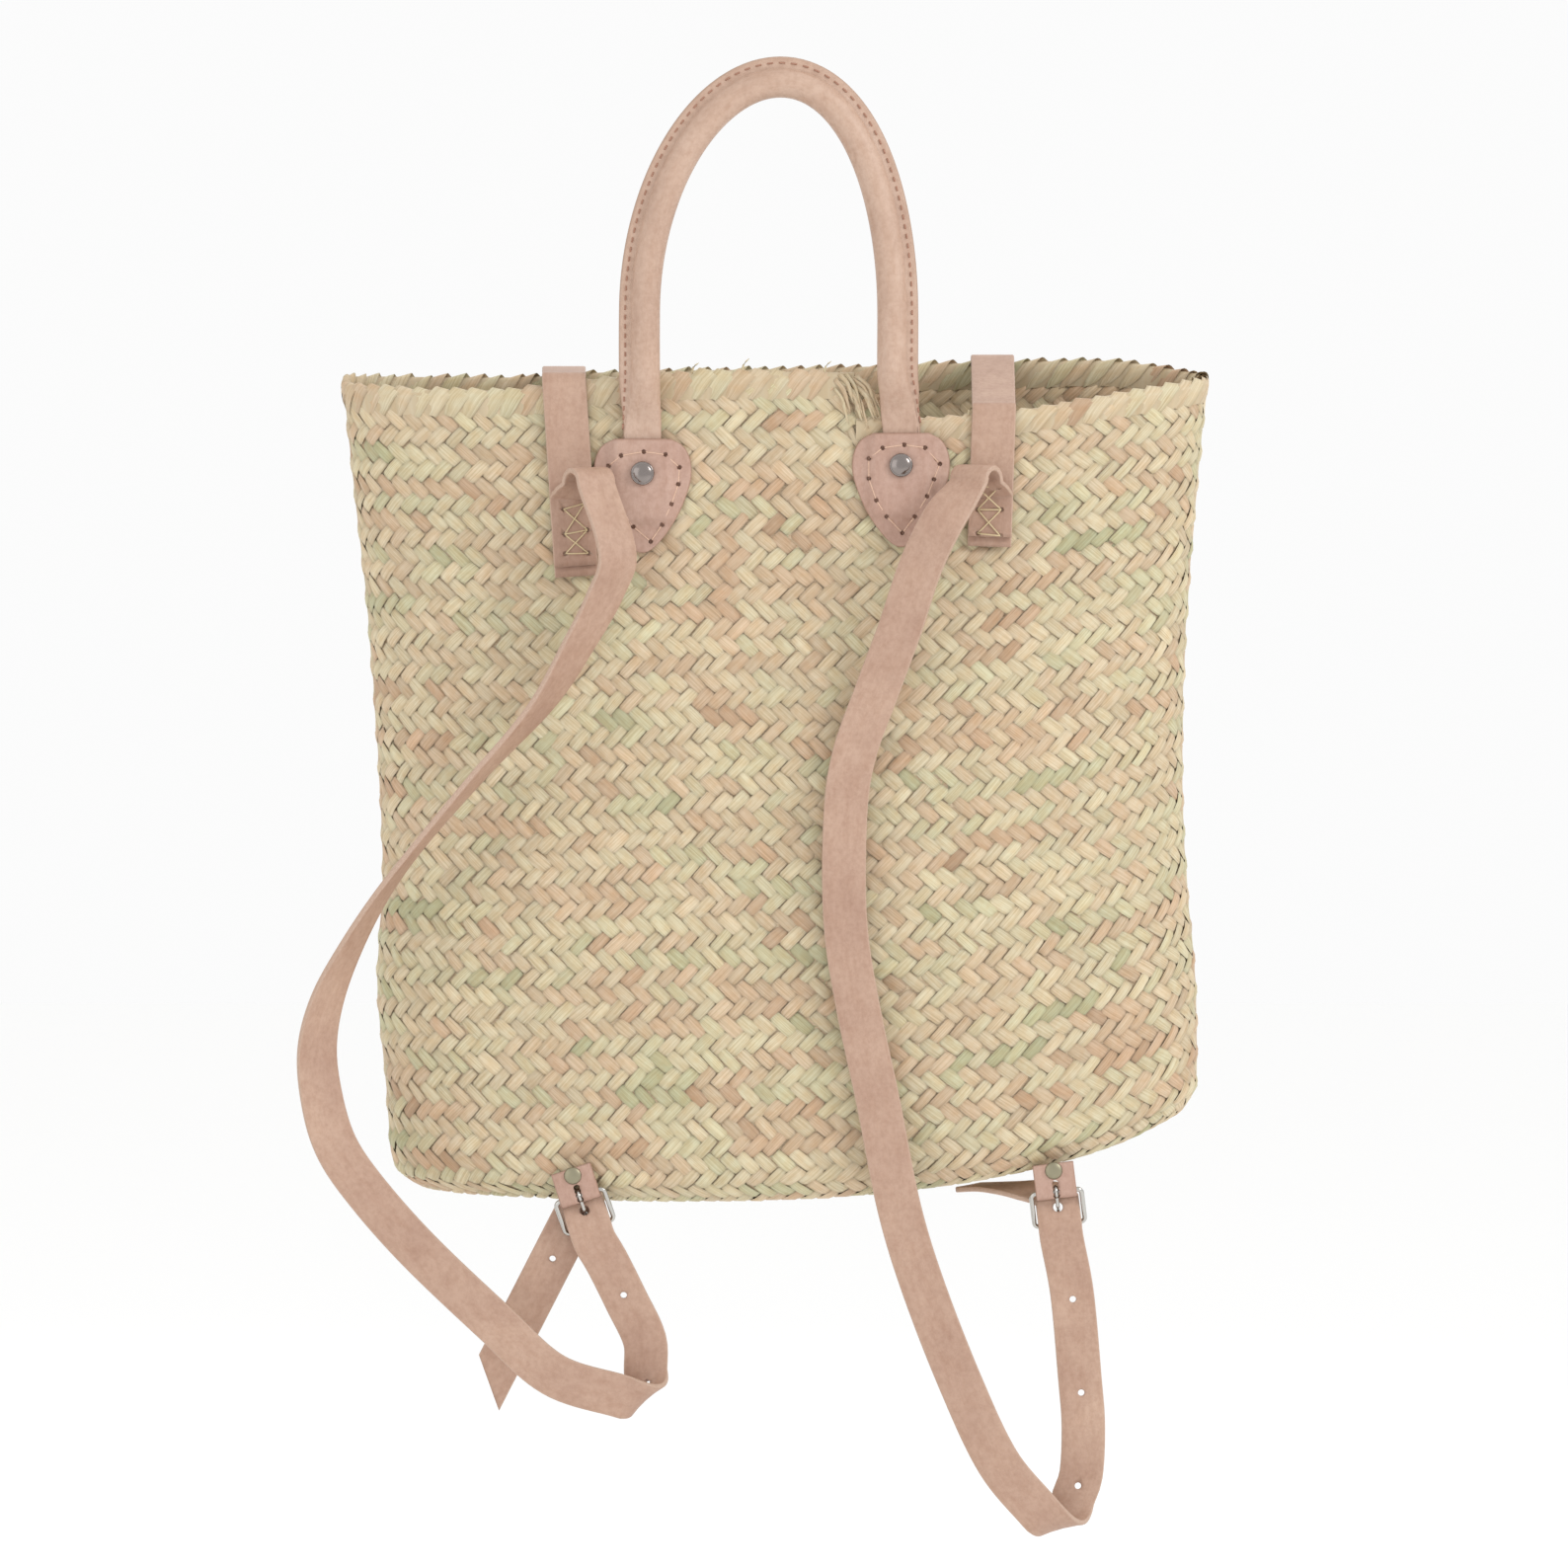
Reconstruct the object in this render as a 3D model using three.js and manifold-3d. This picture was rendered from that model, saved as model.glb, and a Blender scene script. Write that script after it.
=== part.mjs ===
// Woven straw backpack with a rolled leather handle and two buckled leather shoulder straps.
// Millimetres, +X right, +Y from the near wall, which carries the straps, to the far wall, +Z up.
// The pieces are worked out in the basket's own frame: x = 0 and y = 0 in the middle of the mouth,
// z = 0 at the level of the rim. The whole bag is then set so that the inside top of the handle,
// the point that it hangs from, is the origin.
import * as THREE from "three";
import { mergeVertices } from "three/addons/utils/BufferGeometryUtils.js";
import Module from "manifold-3d";

const wasm = await Module();
wasm.setup();

// Driving dimensions of the basket
const mouthWidth = 399;
const basketHeight = 377;
const bellyDepth = 122;
const strawWall = 3;
const baseEdgeRadius = 18;
const sectionPower = 2.4;
const braidStep = 20;

// Driving dimensions of the handle
const handleSpan = 112.5;
const handleRise = 135;
const handleArch = 105;
const handleLean = 5.4;
const handleShift = -2.7;
const handleTube = 13.6;
const weltWidth = 5;
const weltThickness = 2.6;
const tongueWidth = 17;
const tongueThickness = 3.2;
const tongueTaper = 26;
const tongueShow = 2;
const tongueReach = 0.62;

// Driving dimensions of the sewn-on handle tabs
const handleTabWidth = 44.6;
const handleTabHeight = 52;
const handleTabLeather = 2.2;
const handleRivetHead = 10.8;
const handleRivetDome = 2.6;
const rivetShank = 3.6;

// Driving dimensions of the straps
const strapWidth = 20;
const strapLeather = 2.6;
const foldRadius = 6.5;
const turnRadius = 10;
const strapHole = 3;
const holePitch = 43;
const tailLength = 104;
const tailPoint = 19;
const tailTurnDrop = 3.4;
const tailTurnRadius = 2.8;
const tailLean = 27;
const tailBack = 0.05;
const underTail = 58;

// Driving dimensions of the buckles and their tabs
const buckleTabWidth = 18.8;
const buckleTabHeight = 13;
const buckleTabLeather = 1.8;
const buckleWire = 2.2;
const buckleSideRoom = 0.5;
const buckleLength = 16.4;
const prongWire = 1.8;
const tabRivetHead = 8;
const tabRivetDome = 1.1;

// Clearance between pieces that touch on the real bag
const gap = 0.3;

const halfMouth = mouthWidth / 2;
const halfBelly = bellyDepth / 2;
const tubeRadius = handleTube / 2;
const wireRadius = buckleWire / 2;
const prongRadius = prongWire / 2;
const buckleWidth = strapWidth + 2 * (buckleWire + buckleSideRoom);

// Sections of the basket: how far down, its left and right halves and its half depth as shares
const sections = [
  { down: 0.0, left: 1.0, right: 1.0, depth: 0.72 },
  { down: 0.14, left: 0.972, right: 0.976, depth: 0.81 },
  { down: 0.26, left: 0.947, right: 0.958, depth: 0.88 },
  { down: 0.38, left: 0.929, right: 0.947, depth: 0.94 },
  { down: 0.5, left: 0.915, right: 0.945, depth: 0.98 },
  { down: 0.62, left: 0.909, right: 0.956, depth: 1.0 },
  { down: 0.74, left: 0.922, right: 0.976, depth: 1.0 },
  { down: 0.86, left: 0.903, right: 0.979, depth: 1.0 },
  { down: 1.0, left: 0.885, right: 0.975, depth: 0.98 },
];

// Height of the rim along the mouth as shares of the braid's step: the near side drops at the braid's end
const rim = [
  { across: -1.0, near: -0.2, far: 0.0 },
  { across: -0.6, near: -0.25, far: -0.05 },
  { across: -0.42, near: 0.0, far: 0.05 },
  { across: -0.15, near: 0.16, far: 0.1 },
  { across: 0.15, near: 0.16, far: 0.16 },
  { across: 0.37, near: 0.16, far: 0.25 },
  { across: 0.58, near: 0.34, far: 0.3 },
  { across: 0.78, near: 0.66, far: 0.34 },
  { across: 1.0, near: 1.0, far: 0.05 },
];
const stepAcross = 0.185;

// Lift of the base as shares of the basket's height: the right end is pushed up
const baseLift = [
  { across: -1.0, lift: 0.008 },
  { across: -0.8, lift: 0.004 },
  { across: -0.2, lift: 0.0 },
  { across: 0.2, lift: 0.006 },
  { across: 0.5, lift: 0.022 },
  { across: 0.72, lift: 0.044 },
  { across: 0.86, lift: 0.066 },
  { across: 1.0, lift: 0.11 },
];

// Soft dents and ridges of the near wall: centre and reach as shares of the half mouth and the
// height, depth as a share of the belly depth, inward when positive
const dents = [
  { across: -0.03, down: 0.5, wide: 0.1, tall: 0.26, depth: 0.03 },
  { across: 0.09, down: 0.52, wide: 0.07, tall: 0.26, depth: -0.014 },
  { across: -0.66, down: 0.16, wide: 0.09, tall: 0.06, depth: 0.016 },
  { across: 0.55, down: 0.62, wide: 0.2, tall: 0.2, depth: -0.01 },
  { across: -0.5, down: 0.66, wide: 0.18, tall: 0.16, depth: -0.01 },
];

// Outline of a handle tab: how far down and its half width, as shares
const tabOutline = [
  { down: 0.0, half: 0.56 },
  { down: 0.05, half: 0.79 },
  { down: 0.13, half: 0.93 },
  { down: 0.25, half: 1.0 },
  { down: 0.38, half: 0.98 },
  { down: 0.52, half: 0.88 },
  { down: 0.66, half: 0.74 },
  { down: 0.79, half: 0.56 },
  { down: 0.9, half: 0.36 },
  { down: 0.97, half: 0.19 },
  { down: 1.0, half: 0.06 },
];

// What differs between the two sides: places as shares of the half mouth and the basket's height,
// and how far out a handle tab's middle stands as a share of the handle's half span
const sides = [
  {
    name: "left",
    sign: -1,
    handleTab: { reach: 1.0222, down: 0.0715, rivetDown: 0.3 },
    overStrap: { nearEnd: -0.452, nearRim: -0.482, farRim: -0.49, down: 0.238, stitchedFrom: 0.225 },
    fold: { across: -0.424, down: 0.105, turn: 34 },
    route: [
      { across: -0.357, down: 0.209, out: 0.125, turn: 34, tilt: 0 },
      { across: -0.385, down: 0.257, out: 0.1, turn: 36, tilt: 0 },
      { across: -0.44, down: 0.312, out: 0.085, turn: 42, tilt: 4 },
      { across: -0.53, down: 0.39, out: 0.085, turn: 52, tilt: 8 },
      { across: -0.675, down: 0.476, out: 0.095, turn: 62, tilt: 10 },
      { across: -0.806, down: 0.557, out: 0.09, turn: 68, tilt: 10 },
      { across: -0.893, down: 0.618, out: 0.06, turn: 66, tilt: 8 },
      { across: -0.965, down: 0.682, out: 0.03, turn: 58, tilt: 4 },
      { across: -1.022, down: 0.748, out: 0.01, turn: 44, tilt: 0 },
      { across: -1.046, down: 0.809, out: 0.0, turn: 32, tilt: 0 },
      { across: -1.035, down: 0.87, out: 0.01, turn: 20, tilt: 6 },
      { across: -1.004, down: 0.925, out: 0.02, turn: 10, tilt: 12 },
      { across: -0.943, down: 0.974, out: 0.04, turn: 4, tilt: 20 },
      { across: -0.822, down: 1.047, out: 0.06, turn: 0, tilt: 28 },
      { across: -0.642, down: 1.138, out: 0.075, turn: 0, tilt: 34 },
      { across: -0.506, down: 1.202, out: 0.08, turn: 0, tilt: 38 },
      { across: -0.37, down: 1.242, out: 0.085, turn: 0, tilt: 42 },
    ],
    turn: { across: -0.277, down: 1.233, out: 0.0, angle: 43 },
    rear: [
      { across: -0.298, down: 1.165, share: 0.3, turn: 0, tilt: 30 },
      { across: -0.34, down: 1.117, share: 0.6, turn: 0, tilt: 26 },
      { across: -0.385, down: 1.069, share: 1.0, turn: 0, tilt: 22 },
    ],
    buckle: { across: -0.447, rise: 4, seatRise: 14, roll: 18 },
  },
  {
    name: "right",
    sign: 1,
    handleTab: { reach: 1.073, down: 0.0645, rivetDown: 0.28 },
    overStrap: { nearEnd: 0.491, nearRim: 0.502, farRim: 0.506, down: 0.202, stitchedFrom: 0.19 },
    fold: { across: 0.46, down: 0.102, turn: -34 },
    route: [
      { across: 0.385, down: 0.165, out: 0.135, turn: -20, tilt: -24 },
      { across: 0.333, down: 0.222, out: 0.115, turn: -14, tilt: -20 },
      { across: 0.285, down: 0.299, out: 0.09, turn: -8, tilt: -16 },
      { across: 0.233, down: 0.374, out: 0.07, turn: -4, tilt: -14 },
      { across: 0.182, down: 0.45, out: 0.06, turn: 0, tilt: -10 },
      { across: 0.162, down: 0.52, out: 0.055, turn: 0, tilt: -4 },
      { across: 0.161, down: 0.65, out: 0.055, turn: 0, tilt: 2 },
      { across: 0.188, down: 0.75, out: 0.055, turn: 0, tilt: 8 },
      { across: 0.236, down: 0.87, out: 0.06, turn: 0, tilt: 11 },
      { across: 0.284, down: 0.998, out: 0.07, turn: 0, tilt: 13 },
      { across: 0.338, down: 1.093, out: 0.08, turn: 0, tilt: 17 },
      { across: 0.426, down: 1.213, out: 0.085, turn: 0, tilt: 20 },
      { across: 0.512, down: 1.309, out: 0.085, turn: 0, tilt: 22 },
      { across: 0.572, down: 1.368, out: 0.085, turn: 0, tilt: 22 },
    ],
    turn: { across: 0.64, down: 1.39, out: 0.0, angle: 13.5 },
    rear: [
      { across: 0.704, down: 1.33, share: 0.2, turn: 0, tilt: 4 },
      { across: 0.709, down: 1.27, share: 0.4, turn: 0, tilt: 2 },
      { across: 0.701, down: 1.213, share: 0.6, turn: 0, tilt: 2 },
      { across: 0.683, down: 1.11, share: 0.95, turn: 0, tilt: 4 },
    ],
    buckle: { across: 0.646, rise: -8, seatRise: 6, roll: 7 },
  },
];

// Numbers of steps
const aroundSteps = 52;
const wallSteps = 13;
const edgeSteps = 4;
const archSteps = 26;
const tabColumns = 8;
const foldSteps = 7;
const strapWallSteps = 8;
const stationSpacing = 14;

// Reads one column of a table at a place between its rows, on a smooth curve through them
function follow(rows, key, column, at) {
  const last = rows.length - 1;
  const clamped = Math.min(Math.max(at, rows[0][key]), rows[last][key]);
  let row = 0;
  while (row < last - 1 && clamped > rows[row + 1][key]) row += 1;
  const slope = (first, second) =>
    (rows[second][column] - rows[first][column]) / (rows[second][key] - rows[first][key]);
  const span = rows[row + 1][key] - rows[row][key];
  const t = (clamped - rows[row][key]) / span;
  const before = slope(Math.max(row - 1, 0), Math.min(row + 1, last));
  const after = slope(row, Math.min(row + 2, last));
  const start = rows[row][column];
  const end = rows[row + 1][column];
  const square = t * t;
  const cube = square * t;
  return (2 * cube - 3 * square + 1) * start + (cube - 2 * square + t) * span * before +
    (3 * square - 2 * cube) * end + (cube - square) * span * after;
}

function smooth(value) {
  const t = Math.min(Math.max(value, 0), 1);
  return t * t * (3 - 2 * t);
}

function mix(start, end, share) {
  return start + (end - start) * share;
}

// The basket's surface: its width and depth at a height, its rim, its base and its dents
function halfWidthAt(z, side) {
  return halfMouth * follow(sections, "down", side < 0 ? "left" : "right", -z / basketHeight);
}

function halfDepthAt(z) {
  return halfBelly * follow(sections, "down", "depth", -z / basketHeight);
}

function rimAt(across, near) {
  const height = braidStep * follow(rim, "across", near ? "near" : "far", across);
  return near && across > stepAcross ? height - braidStep : height;
}

function baseAt(across) {
  return basketHeight * (follow(baseLift, "across", "lift", across) - 1);
}

function dentAt(across, down) {
  const pushes = dents.map((dent) => {
    const sideways = (across - dent.across) / dent.wide;
    const upright = (down - dent.down) / dent.tall;
    return dent.depth * bellyDepth * Math.exp(-sideways * sideways - upright * upright);
  });
  return pushes.reduce((sum, push) => sum + push, 0);
}

// Inset of the rounded edge between the wall and the base at a height over the base
function edgeInset(height) {
  const below = Math.min(Math.max(baseEdgeRadius - height, 0), baseEdgeRadius);
  return baseEdgeRadius - Math.sqrt(baseEdgeRadius * baseEdgeRadius - below * below);
}

// How far out the wall stands at x and z, and where x lies across that section, both as shares
function sectionAt(x, z) {
  const inset = edgeInset(z - baseAt(x / halfWidthAt(z, x)));
  const across = x / (halfWidthAt(z, x) - inset);
  const bulge = Math.pow(Math.max(1 - Math.pow(Math.abs(across), sectionPower), 0), 1 / sectionPower);
  return { across, bulge, depth: (halfDepthAt(z) - inset) * bulge };
}

// Outer face of the near wall at x and z, as a y, and the face that clears a flat piece laid on it
function nearFace(x, z) {
  const section = sectionAt(x, z);
  return dentAt(section.across, -z / basketHeight) * Math.sqrt(section.bulge) - section.depth;
}

function nearClear(x, z, reachX, reachZ = 0) {
  const places = [-1, -0.5, 0, 0.5, 1];
  const faces = places.flatMap((share) => [
    nearFace(x + reachX * share, z),
    nearFace(x, z + reachZ * share),
  ]);
  return Math.min(...faces);
}

function farClear(x, z, reachX) {
  return Math.max(...[-1, -0.5, 0, 0.5, 1].map((share) => sectionAt(x + reachX * share, z).depth));
}

function rimClear(across, near, reach) {
  const places = [-1.2, -0.8, -0.4, 0, 0.4, 0.8, 1.2];
  return Math.max(...places.map((share) => rimAt(across + reach * share / halfMouth, near)));
}

// A closed mesh from rings of points, each ring closed on itself; a ring of one point is a pole
function geometryOf(positions, indices) {
  const geometry = new THREE.BufferGeometry();
  geometry.setAttribute("position", new THREE.Float32BufferAttribute(positions, 3));
  geometry.setIndex(indices);
  return geometry;
}

function skin(rings, closedEnds) {
  const positions = [];
  const starts = rings.map((ring) => {
    const start = positions.length / 3;
    ring.forEach((point) => positions.push(point.x, point.y, point.z));
    return start;
  });
  const indices = [];
  rings.slice(1).forEach((next, row) => {
    const ring = rings[row];
    const steps = Math.max(ring.length, next.length);
    for (let step = 0; step < steps; step += 1) {
      const a = starts[row] + (step % ring.length);
      const b = starts[row] + ((step + 1) % ring.length);
      const c = starts[row + 1] + (step % next.length);
      const d = starts[row + 1] + ((step + 1) % next.length);
      if (ring.length > 1) indices.push(a, b, d);
      if (next.length > 1) indices.push(a, d, c);
    }
  });
  if (closedEnds) {
    const count = rings[0].length;
    const last = starts[rings.length - 1];
    for (let step = 1; step < count - 1; step += 1) {
      indices.push(0, step + 1, step);
      indices.push(last, last + step, last + step + 1);
    }
  }
  return geometryOf(positions, facingOut(positions, indices));
}

// Turns every face round when the closed mesh they make has its faces pointing in
function facingOut(positions, indices) {
  const corner = (index) => new THREE.Vector3().fromArray(positions, index * 3);
  let volume = 0;
  for (let face = 0; face < indices.length; face += 3) {
    const [a, b, c] = [0, 1, 2].map((step) => corner(indices[face + step]));
    volume += a.dot(b.cross(c));
  }
  return volume < 0 ? indices.slice().reverse() : indices;
}

// Booleans on closed meshes
function solidOf(geometry) {
  const bare = geometry.clone();
  bare.deleteAttribute("normal");
  bare.deleteAttribute("uv");
  const merged = mergeVertices(bare);
  const mesh = new wasm.Mesh({
    numProp: 3,
    vertProperties: new Float32Array(merged.attributes.position.array),
    triVerts: new Uint32Array(merged.index.array),
  });
  return new wasm.Manifold(mesh);
}

function geometryFrom(solid) {
  const mesh = solid.getMesh();
  return geometryOf(Array.from(mesh.vertProperties), Array.from(mesh.triVerts));
}

function cut(geometry, tools) {
  const start = solidOf(geometry);
  return geometryFrom(tools.reduce((solid, tool) => solid.subtract(solidOf(tool)), start));
}

function join(geometries) {
  const [first, ...others] = geometries.map(solidOf);
  return geometryFrom(others.reduce((solid, other) => solid.add(other), first));
}

// A pin between two points
function pinBetween(start, end, radius, sides = 12) {
  const along = new THREE.Vector3().subVectors(end, start);
  const pin = new THREE.CylinderGeometry(radius, radius, along.length(), sides);
  const turn = new THREE.Quaternion().setFromUnitVectors(new THREE.Vector3(0, 1, 0), along.clone().normalize());
  pin.applyQuaternion(turn);
  const middle = new THREE.Vector3().addVectors(start, end).multiplyScalar(0.5);
  return pin.translate(middle.x, middle.y, middle.z);
}

// A flat strap through stations, each with a point and the direction of its width
function ribbon(stations, width, thickness, endCut = 0) {
  const last = stations.length - 1;
  const rings = stations.map((station, index) => {
    const ahead = stations[Math.min(index + 1, last)].point;
    const behind = stations[Math.max(index - 1, 0)].point;
    const along = new THREE.Vector3().subVectors(ahead, behind).normalize();
    const across = station.across.clone().addScaledVector(along, -station.across.dot(along)).normalize();
    const facing = new THREE.Vector3().crossVectors(along, across);
    const corner = (sideways, through) => station.point.clone()
      .addScaledVector(across, sideways * width / 2)
      .addScaledVector(facing, through * thickness / 2)
      .addScaledVector(along, index === last && sideways < 0 ? -endCut : 0);
    return [corner(-1, -1), corner(1, -1), corner(1, 1), corner(-1, 1)];
  });
  return skin(rings, true);
}

// Direction of a strap's width, turned about the upright and tilted in the bag's plane, in degrees
function widthDirection(turn, tilt) {
  const yaw = THREE.MathUtils.degToRad(turn);
  const lift = THREE.MathUtils.degToRad(tilt);
  return new THREE.Vector3(Math.cos(yaw) * Math.cos(lift), Math.sin(yaw) * Math.cos(lift), Math.sin(lift));
}

// Evenly spaced stations on a smooth curve through a few
function resample(stations, spacing) {
  const curve = new THREE.CatmullRomCurve3(stations.map((station) => station.point), false, "centripetal");
  const widths = new THREE.CatmullRomCurve3(stations.map((station) => station.across), false, "centripetal");
  const count = stations.length - 1;
  const result = [];
  for (let part = 0; part < count; part += 1) {
    const length = stations[part].point.distanceTo(stations[part + 1].point);
    const steps = Math.max(1, Math.round(length / spacing));
    for (let step = 0; step < steps; step += 1) {
      const t = (part + step / steps) / count;
      result.push({ point: curve.getPoint(t), across: widths.getPoint(t).normalize() });
    }
  }
  result.push(stations[count]);
  return result;
}

// Woven body: a hollow straw shell whose inner wall follows the outer one
function basketColumns() {
  const stepGap = 0.006;
  const stepClear = 0.04;
  const angles = [];
  for (let step = 0; step < aroundSteps; step += 1) {
    const angle = (step / aroundSteps) * Math.PI * 2;
    const across = Math.sign(Math.cos(angle)) * Math.pow(Math.abs(Math.cos(angle)), 2 / sectionPower);
    const nearStep = Math.sin(angle) < 0 && Math.abs(across - stepAcross) < stepClear;
    if (!nearStep) angles.push(angle);
  }
  [stepAcross - stepGap, stepAcross + stepGap].forEach((across) => {
    angles.push(Math.PI * 2 - Math.acos(Math.pow(across, sectionPower / 2)));
  });
  return angles.sort((first, second) => first - second);
}

function shellPoint(angle, share, wallInset) {
  const cosine = Math.cos(angle);
  const sine = Math.sin(angle);
  const across = Math.sign(cosine) * Math.pow(Math.abs(cosine), 2 / sectionPower);
  const outward = Math.sign(sine) * Math.pow(Math.abs(sine), 2 / sectionPower);
  const near = sine < 0;
  const radius = baseEdgeRadius - wallInset;
  const bottom = baseAt(across) + wallInset;
  const top = rimAt(across, near);
  const onWall = Math.min(share, 1);
  const bend = Math.min(Math.max(share - 1, 0), 1) * Math.PI / 2;
  const inset = wallInset + radius * (1 - Math.cos(bend));
  const z = mix(top, bottom + radius, onWall) - radius * Math.sin(bend);
  const push = near ? dentAt(across, -z / basketHeight) * Math.sqrt(Math.abs(outward)) : 0;
  return new THREE.Vector3(
    (halfWidthAt(z, across) - inset) * across,
    (halfDepthAt(z) - inset) * outward + push,
    z,
  );
}

function shellRings(wallInset) {
  const angles = basketColumns();
  const rings = [];
  for (let step = 0; step <= wallSteps; step += 1) {
    const share = Math.pow(step / wallSteps, 0.85);
    rings.push(angles.map((angle) => shellPoint(angle, share, wallInset)));
  }
  for (let step = 1; step <= edgeSteps; step += 1) {
    rings.push(angles.map((angle) => shellPoint(angle, 1 + step / edgeSteps, wallInset)));
  }
  const edge = rings[rings.length - 1];
  [0.66, 0.33].forEach((share) => {
    rings.push(edge.map((point) => {
      const x = point.x * share;
      return new THREE.Vector3(x, point.y * share, baseAt(x / halfMouth) + wallInset);
    }));
  });
  rings.push([new THREE.Vector3(0, 0, baseAt(0) + wallInset)]);
  return rings;
}

function basketBody(holes) {
  const outer = shellRings(0);
  const inner = shellRings(strawWall).reverse();
  return cut(skin([...inner, ...outer], false), holes);
}

// Rolled handle: a tube with a sewn welt on its outer side, its ends pressed flat under the tabs
const handlePlane = nearFace(handleSpan / 2, -basketHeight * sides[0].handleTab.down) - gap - tubeRadius;

function handleSection(flat) {
  const points = [];
  const arcSteps = 10;
  const weltAngle = Math.asin(weltThickness / handleTube);
  const flatHalf = tongueWidth / 2;
  const bore = (angle) => {
    const round = { out: tubeRadius * Math.cos(angle), through: tubeRadius * Math.sin(angle) };
    const pressed = { out: flatHalf * Math.cos(angle), through: Math.sign(Math.sin(angle)) * tongueThickness / 2 };
    return [mix(round.out, pressed.out, flat), mix(round.through, pressed.through, flat)];
  };
  for (let step = 0; step <= arcSteps; step += 1) {
    points.push(bore(mix(weltAngle, Math.PI * 2 - weltAngle, step / arcSteps)));
  }
  const weltReach = mix(tubeRadius + weltWidth, flatHalf + gap, flat);
  points.push([weltReach, -mix(weltThickness, tongueThickness, flat) / 2]);
  points.push([weltReach, mix(weltThickness, tongueThickness, flat) / 2]);
  return points;
}

function tabMiddle(side) {
  return handleShift + side.sign * side.handleTab.reach * handleSpan / 2;
}

function tongueDepth(x, z) {
  return nearFace(x, z) - gap - tongueThickness / 2;
}

function handleStations() {
  const spring = handleRise - handleArch;
  const stations = [];
  const leg = (side) => {
    const top = -basketHeight * side.handleTab.down;
    const x = tabMiddle(side);
    const pressed = [1, 0.75, 0.5, 0.25, 0].map((share) => ({
      x,
      z: top - handleTabHeight * tongueReach * share + (share > 0 ? 0 : tongueShow),
      flat: 1,
    }));
    const shares = [0.3, 0.6, 1];
    const rise = shares.map((share) => ({
      x: mix(x, handleShift + side.sign * handleSpan / 2, share),
      z: top + tongueShow + tongueTaper * share,
      flat: 1 - smooth(share),
    }));
    return [...pressed, ...rise];
  };
  leg(sides[0]).forEach((station) => stations.push(station));
  for (let step = 0; step <= archSteps; step += 1) {
    const angle = Math.PI * (1 - step / archSteps);
    const rise = Math.sin(angle);
    stations.push({
      x: handleShift + Math.cos(angle) * handleSpan / 2 + handleLean * rise * rise,
      z: spring + handleArch * rise,
      flat: 0,
    });
  }
  leg(sides[1]).reverse().forEach((station) => stations.push(station));
  return stations.map((station) => ({
    point: new THREE.Vector3(station.x, 0, station.z),
    flat: station.flat,
  }));
}

function handle(holes) {
  const stations = handleStations();
  const last = stations.length - 1;
  const rings = stations.map((station, index) => {
    const ahead = stations[Math.min(index + 1, last)].point;
    const behind = stations[Math.max(index - 1, 0)].point;
    const along = new THREE.Vector3(ahead.x - behind.x, 0, ahead.z - behind.z).normalize();
    const outward = new THREE.Vector3(-along.z, 0, along.x);
    return handleSection(station.flat).map(([out, through]) => {
      const point = station.point.clone().addScaledVector(outward, out);
      const onWall = station.flat > 0 ? tongueDepth(point.x, point.z) : handlePlane;
      point.y = mix(handlePlane, onWall, station.flat) + through;
      return point;
    });
  });
  return cut(skin(rings, true), holes);
}

// Handle tab: a sewn leather shield that bulges over the handle's flat end
function tabBulge(side, x, z) {
  const aside = Math.abs(x - tabMiddle(side)) - tongueWidth / 2;
  const below = -basketHeight * side.handleTab.down - handleTabHeight * tongueReach - z;
  const level = 3;
  const slope = 6;
  const share = smooth(1 - (aside - level) / slope) * smooth(1 - (below - level) / slope);
  return (tongueThickness + gap) * share;
}

function handleTab(side, holes) {
  const top = -basketHeight * side.handleTab.down;
  const centre = tabMiddle(side);
  const layer = (through) => tabOutline.map((row) => {
    const points = [];
    for (let step = 0; step <= tabColumns; step += 1) {
      const x = centre + (step / tabColumns * 2 - 1) * row.half * handleTabWidth / 2;
      const z = top - row.down * handleTabHeight;
      points.push(new THREE.Vector3(x, nearFace(x, z) - gap - tabBulge(side, x, z) - through, z));
    }
    return points;
  });
  const back = layer(0);
  const front = layer(handleTabLeather);
  const rings = back.map((row, index) => [...row, ...front[index].slice().reverse()]);
  return cut(skin(rings, true), holes);
}

function handleRivetCentre(side) {
  const tab = side.handleTab;
  const x = tabMiddle(side);
  const z = -basketHeight * tab.down - handleTabHeight * tab.rivetDown;
  const reach = handleRivetHead / 2;
  return { x, z, face: nearClear(x, z, reach, reach) };
}

// Turned rivet: a dome above y = 0, a shank and a flat cap below it
function rivet(head, dome, shankLength, capRadius, capThickness) {
  const domePoints = [];
  const domeSteps = 4;
  for (let step = 0; step <= domeSteps; step += 1) {
    const angle = (step / domeSteps) * Math.PI / 2;
    domePoints.push(new THREE.Vector2(Math.sin(angle) * head / 2, dome * Math.cos(angle)));
  }
  const edge = 0.4;
  const sides = 14;
  const profile = [
    ...domePoints,
    new THREE.Vector2(head / 2, -edge),
    new THREE.Vector2(rivetShank / 2, -edge),
    new THREE.Vector2(rivetShank / 2, -edge - shankLength),
    new THREE.Vector2(capRadius, -edge - shankLength),
    new THREE.Vector2(capRadius, -edge - shankLength - capThickness),
    new THREE.Vector2(0, -edge - shankLength - capThickness),
  ];
  return new THREE.LatheGeometry(profile.reverse(), sides).translate(0, edge, 0);
}

function handleRivet() {
  const slopeRoom = 1.2;
  const capRadius = handleRivetHead * 0.36;
  const capThickness = 1;
  const through = handleRivetSeat + strawWall + gap + slopeRoom;
  return rivet(handleRivetHead, handleRivetDome, through, capRadius, capThickness)
    .rotateX(Math.PI);
}

// Where the head of a handle rivet sits in front of the wall
const handleRivetSeat = gap * 3 + handleTabLeather + tongueThickness;

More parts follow.
